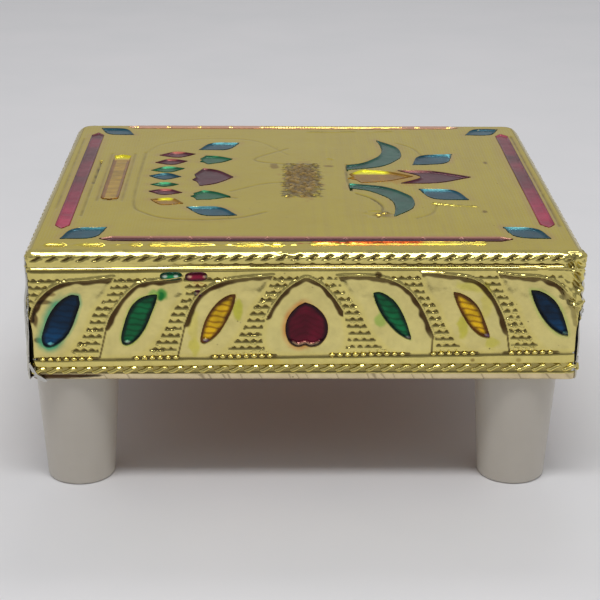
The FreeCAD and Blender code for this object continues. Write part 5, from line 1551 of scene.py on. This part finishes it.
def scale_shape(tree, sizes):
    cone = wire(tree, "GeometryNodeMeshCone", {
        "Vertices": 16, "Side Segments": 1, "Radius Top": 0.9, "Radius Bottom": 1.0, "Depth": 1.0})
    place = wire(tree, "GeometryNodeInputPosition")
    axes = wire(tree, "ShaderNodeSeparateXYZ", {"Vector": place}).node.outputs
    lower = maths(tree, "MINIMUM", axes["Y"], 0.0)
    wedge = maths(tree, "MULTIPLY", lower, -2.2, use_clamp=True)
    flat = vector(tree, axes["X"], lower, maths(tree, "MULTIPLY", axes["Z"], wedge))
    half = wire(tree, "GeometryNodeSetPosition", {"Geometry": cone, "Position": flat})
    joined = wire(tree, "GeometryNodeMergeByDistance", {"Geometry": half, "Distance": 0.001})
    return leaned(tree, scaled(tree, joined, sizes, SCALE_SIZES), x=sizes["Tilt"])


def on_skirt(skirt, u, v, lift):
    """Point, outward direction and direction along u for pattern place (u, v)."""
    y = v - float(skew(skirt, np.array(float(u)), np.array(float(v))))
    x0, y0, nx, ny = (float(value) for value in skirt.plan(np.array(u, float)))
    return (x0 + nx * lift, y0 + ny * lift, TOP + y), (nx, ny, 0.0), (-ny, nx, 0.0), y


def scale_places(skirt):
    places = []
    pitch = SCALE_WIDTH * skirt.squeeze
    straight = skirt.half - max(skirt.left_round, skirt.right_round) - 0.4
    for row in range(11):
        upper = SCALE_START - row * SCALE_PITCH
        for side in (-1, 1):
            for k in range(40):
                u = side * (k * pitch + 0.5 * pitch * (row % 2))
                if (k == 0 and row % 2 == 0 and side > 0) or abs(u) > straight:
                    continue
                point, outward, along, y = on_skirt(skirt, u, upper - 0.1, -0.14)
                clear = niche_floor(skirt, np.array([u - 0.9, u, u + 0.9]), np.full(3, y - 1.0))[1]
                gathered = (skirt.quarter == 0 and u > 70.0) or (skirt.quarter == 1 and u < -62.0)
                if clear.min() < 0.3 or (gathered and y > -20.0):
                    continue
                places.append((point, outward, along, (skirt.squeeze, 1.0, 1.0)))
    return places


scale_tree = planting_tree("fish_scales", (*SCALE_SIZES, "Tilt"), scale_shape)
scale_sizes = {"Half Width": 1.2 * MM, "Length": 1.62 * MM, "Thickness": 0.22 * MM,
               "Tilt": math.radians(-2.0)}
all_scales = [place for skirt in skirts for place in scale_places(skirt)]
scale_piece = plant("fish_scales", scale_tree, all_scales, scale_sizes, plain_foil)

# %% [markdown]
# Beads are little flattened balls. Rope strands are long ones, bent like a
# shallow S by moving their points sideways with a sine.

# %% Plant the beads and the rope strands
BALL_SIZES = ("Half Length", "Half Height", "Thickness")
BEAD_PITCH, STRAND_STEP = 2.2, 4.3


def bead_shape(tree, sizes):
    ball = wire(tree, "GeometryNodeMeshUVSphere", {"Segments": 8, "Rings": 5, "Radius": 1.0})
    return scaled(tree, ball, sizes, BALL_SIZES)


def strand_shape(tree, sizes):
    ball = wire(tree, "GeometryNodeMeshUVSphere", {"Segments": 12, "Rings": 8, "Radius": 1.0})
    lay = wire(tree, "GeometryNodeTransform", {"Geometry": ball, "Rotation": (0.0, math.pi / 2, 0.0)})
    place = wire(tree, "GeometryNodeInputPosition")
    along = wire(tree, "ShaderNodeSeparateXYZ", {"Vector": place}, "X")
    wave = maths(tree, "SINE", maths(tree, "MULTIPLY", along, 2.6))
    sway = vector(tree, y=maths(tree, "MULTIPLY", wave, sizes["Bend"]))
    bent = wire(tree, "GeometryNodeSetPosition", {"Geometry": lay, "Offset": sway})
    return leaned(tree, scaled(tree, bent, sizes, BALL_SIZES), z=sizes["Lean"])


def row_places(skirt, v, pitch, lift, seed, wanted=None):
    """Places in a row along a skirt, a little uneven as pressed foil is."""
    dice = np.random.default_rng(seed)
    count = int(round((skirt.last - skirt.first) / pitch))
    places = []
    for k in range(count):
        u = skirt.first + (k + 0.5) * (skirt.last - skirt.first) / count
        uneven = dice.uniform(0.94, 1.06, 3)
        if wanted is not None and not wanted(u):
            continue
        if v < -33 and not skirt.quarter:
            uneven *= (1.0, 1.0, 1.0 - 0.16 * float(soft((u - 28.0) / 10.0)))
        point, outward, along, _ = on_skirt(skirt, u, v, lift)
        places.append((point, outward, along, tuple(uneven)))
    return places


bead_tree = planting_tree("beads", BALL_SIZES, bead_shape)
strand_tree = planting_tree("strands", (*BALL_SIZES, "Bend", "Lean"), strand_shape)


def under_scales(skirt):
    """Says whether a bead is wanted: on the front as in the picture, else below the scales."""
    def wanted(u):
        if skirt.quarter == 0:
            return any(low < u < high for low, high in FRONT_BEADS)
        y = FIELD_FOOT + 1.4 - float(skew(skirt, np.array(u), np.array(FIELD_FOOT)))
        clear = niche_floor(skirt, np.array([u]), np.array([y]))[1]
        return clear[0] > 0.0 and abs(u) < skirt.half - 3.0
    return wanted


beads = [place for skirt in skirts
         for place in row_places(skirt, BEAD_ROW, BEAD_PITCH, 0.02, 3 + skirt.quarter, under_scales(skirt))]
bead_piece = plant("bead_row", bead_tree, beads, {
    "Half Length": 0.9 * MM, "Half Height": 0.5 * MM, "Thickness": 0.55 * MM}, plain_foil)

lower = [place for skirt in skirts
         for place in row_places(skirt, LOWER_ROPE, STRAND_STEP, -0.12, 30 + skirt.quarter)]
lower_rope = plant("lower_rope", strand_tree, lower, {
    "Half Length": 2.3 * MM, "Half Height": 0.68 * MM, "Thickness": 0.76 * MM,
    "Bend": 0.6, "Lean": math.radians(7.0)}, plain_foil, False)

# %% [markdown]
# ## Legs, wood and metal
# The CAD shapes of these are right as they are, so they only need finishes:
# milky moulded plastic, raw sawn wood, dark hardboard and plain steel.


# %% Finishes for the CAD nodes
def plastic_finish():
    finish = Finish("milk_plastic", Subsurface_Weight=0.25, Subsurface_Scale=0.004,
                    Subsurface_Radius=(1.0, 0.9, 0.8), Coat_Weight=0.15)
    colour = finish.mix(finish.cloud(90.0, 0.0, 0.3), tone(200, 193, 181), tone(188, 180, 168))
    finish.use("Base Color", colour)
    finish.use("Roughness", finish.cloud(500.0, 0.3, 0.46))
    finish.bump(finish.grain(800.0), 0.00003, 0.3)
    return finish.material


def wood_finish(name, light, dark, stretch):
    finish = Finish(name, stretch, Roughness=0.7)
    rings, fibres = finish.grain(24.0, 6.0, 0.65), finish.grain(160.0, 4.0)
    colour = finish.mix(finish.remap(rings, 0.32, 0.68), dark, light)
    finish.use("Base Color", finish.mix(finish.remap(fibres, 0.3, 0.7, 0.0, 0.35), colour, dark))
    finish.bump(fibres, 0.0002, 0.5)
    return finish.material


def steel_finish(name, colour, roughness):
    finish = Finish(name, (1.0, 1.0, 6.0), Metallic=1.0, Base_Color=colour)
    finish.use("Roughness", finish.cloud(900.0, roughness - 0.1, roughness + 0.12))
    finish.bump(finish.grain(1500.0), 0.00002, 0.4)
    return finish.material


PINE = tone(204, 150, 84), tone(160, 104, 50)
FINISHES = {
    # how the node's name starts: its finish; the first that fits is used
    ("leg_screw", "leg_washer"): steel_finish("zinc_steel", tone(196, 196, 190), 0.35),
    ("leg_",): plastic_finish(),
    ("deck_nails", "rail_nails", "hem_tacks"): steel_finish("nail_steel", tone(176, 176, 174), 0.3),
    ("front_rail", "rear_rail"): wood_finish("softwood_along_x", *PINE, (0.08, 1.0, 1.0)),
    ("left_rail", "right_rail"): wood_finish("softwood_along_y", *PINE, (1.0, 0.08, 1.0)),
    ("corner_block",): wood_finish("softwood_upright", *PINE, (1.0, 1.0, 0.08)),
    ("deck_board",): wood_finish("hardboard", tone(196, 132, 64), tone(152, 96, 42), (1.0, 1.0, 1.0)),
}
for name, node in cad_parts.items():
    fitting = [material for starts, material in FINISHES.items() if name.startswith(starts)]
    if fitting:
        node.data.materials.clear()
        node.data.materials.append(fitting[0])
print("CAD finishes:", len(FINISHES))

# %% [markdown]
# ## Join the pieces to the frame
# Nothing moves on this table, so every piece rides on the one body. The foil
# sheets stand for the CAD foil and the lacquer pools for the CAD enamels.

# %% Ride on the body and hide the CAD foil and enamels
foil_pieces = [top_piece, *skirt_pieces, scale_piece, bead_piece, lower_rope, tab_piece, edge_piece]
for piece in foil_pieces:
    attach(piece, "root")
for piece in (top_piece, *skirt_pieces):
    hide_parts("foil_cover")
for piece in gap_shades:
    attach(piece, "root")
for colour, piece in lacquer_pieces.items():
    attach(piece, "root")
    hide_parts(colour + "_enamel")

# %% [markdown]
# ## Floor
# A plain pale sheet, much larger than the picture.

# %% Floor
FLOOR_HALF = 4.0
corners = [(x * FLOOR_HALF, y * FLOOR_HALF, 0) for x, y in ((-1, -1), (1, -1), (1, 1), (-1, 1))]
floor_mesh = bpy.data.meshes.new("floor")
floor_mesh.from_pydata(corners, [], [(0, 1, 2, 3)])
pale = Finish("floor", Roughness=0.75)
pale.use("Base Color", pale.mix(pale.cloud(14.0, 0.0, 1.0), tone(232, 231, 233), tone(228, 228, 230)))
floor = add_object("floor", floor_mesh, pale.material)
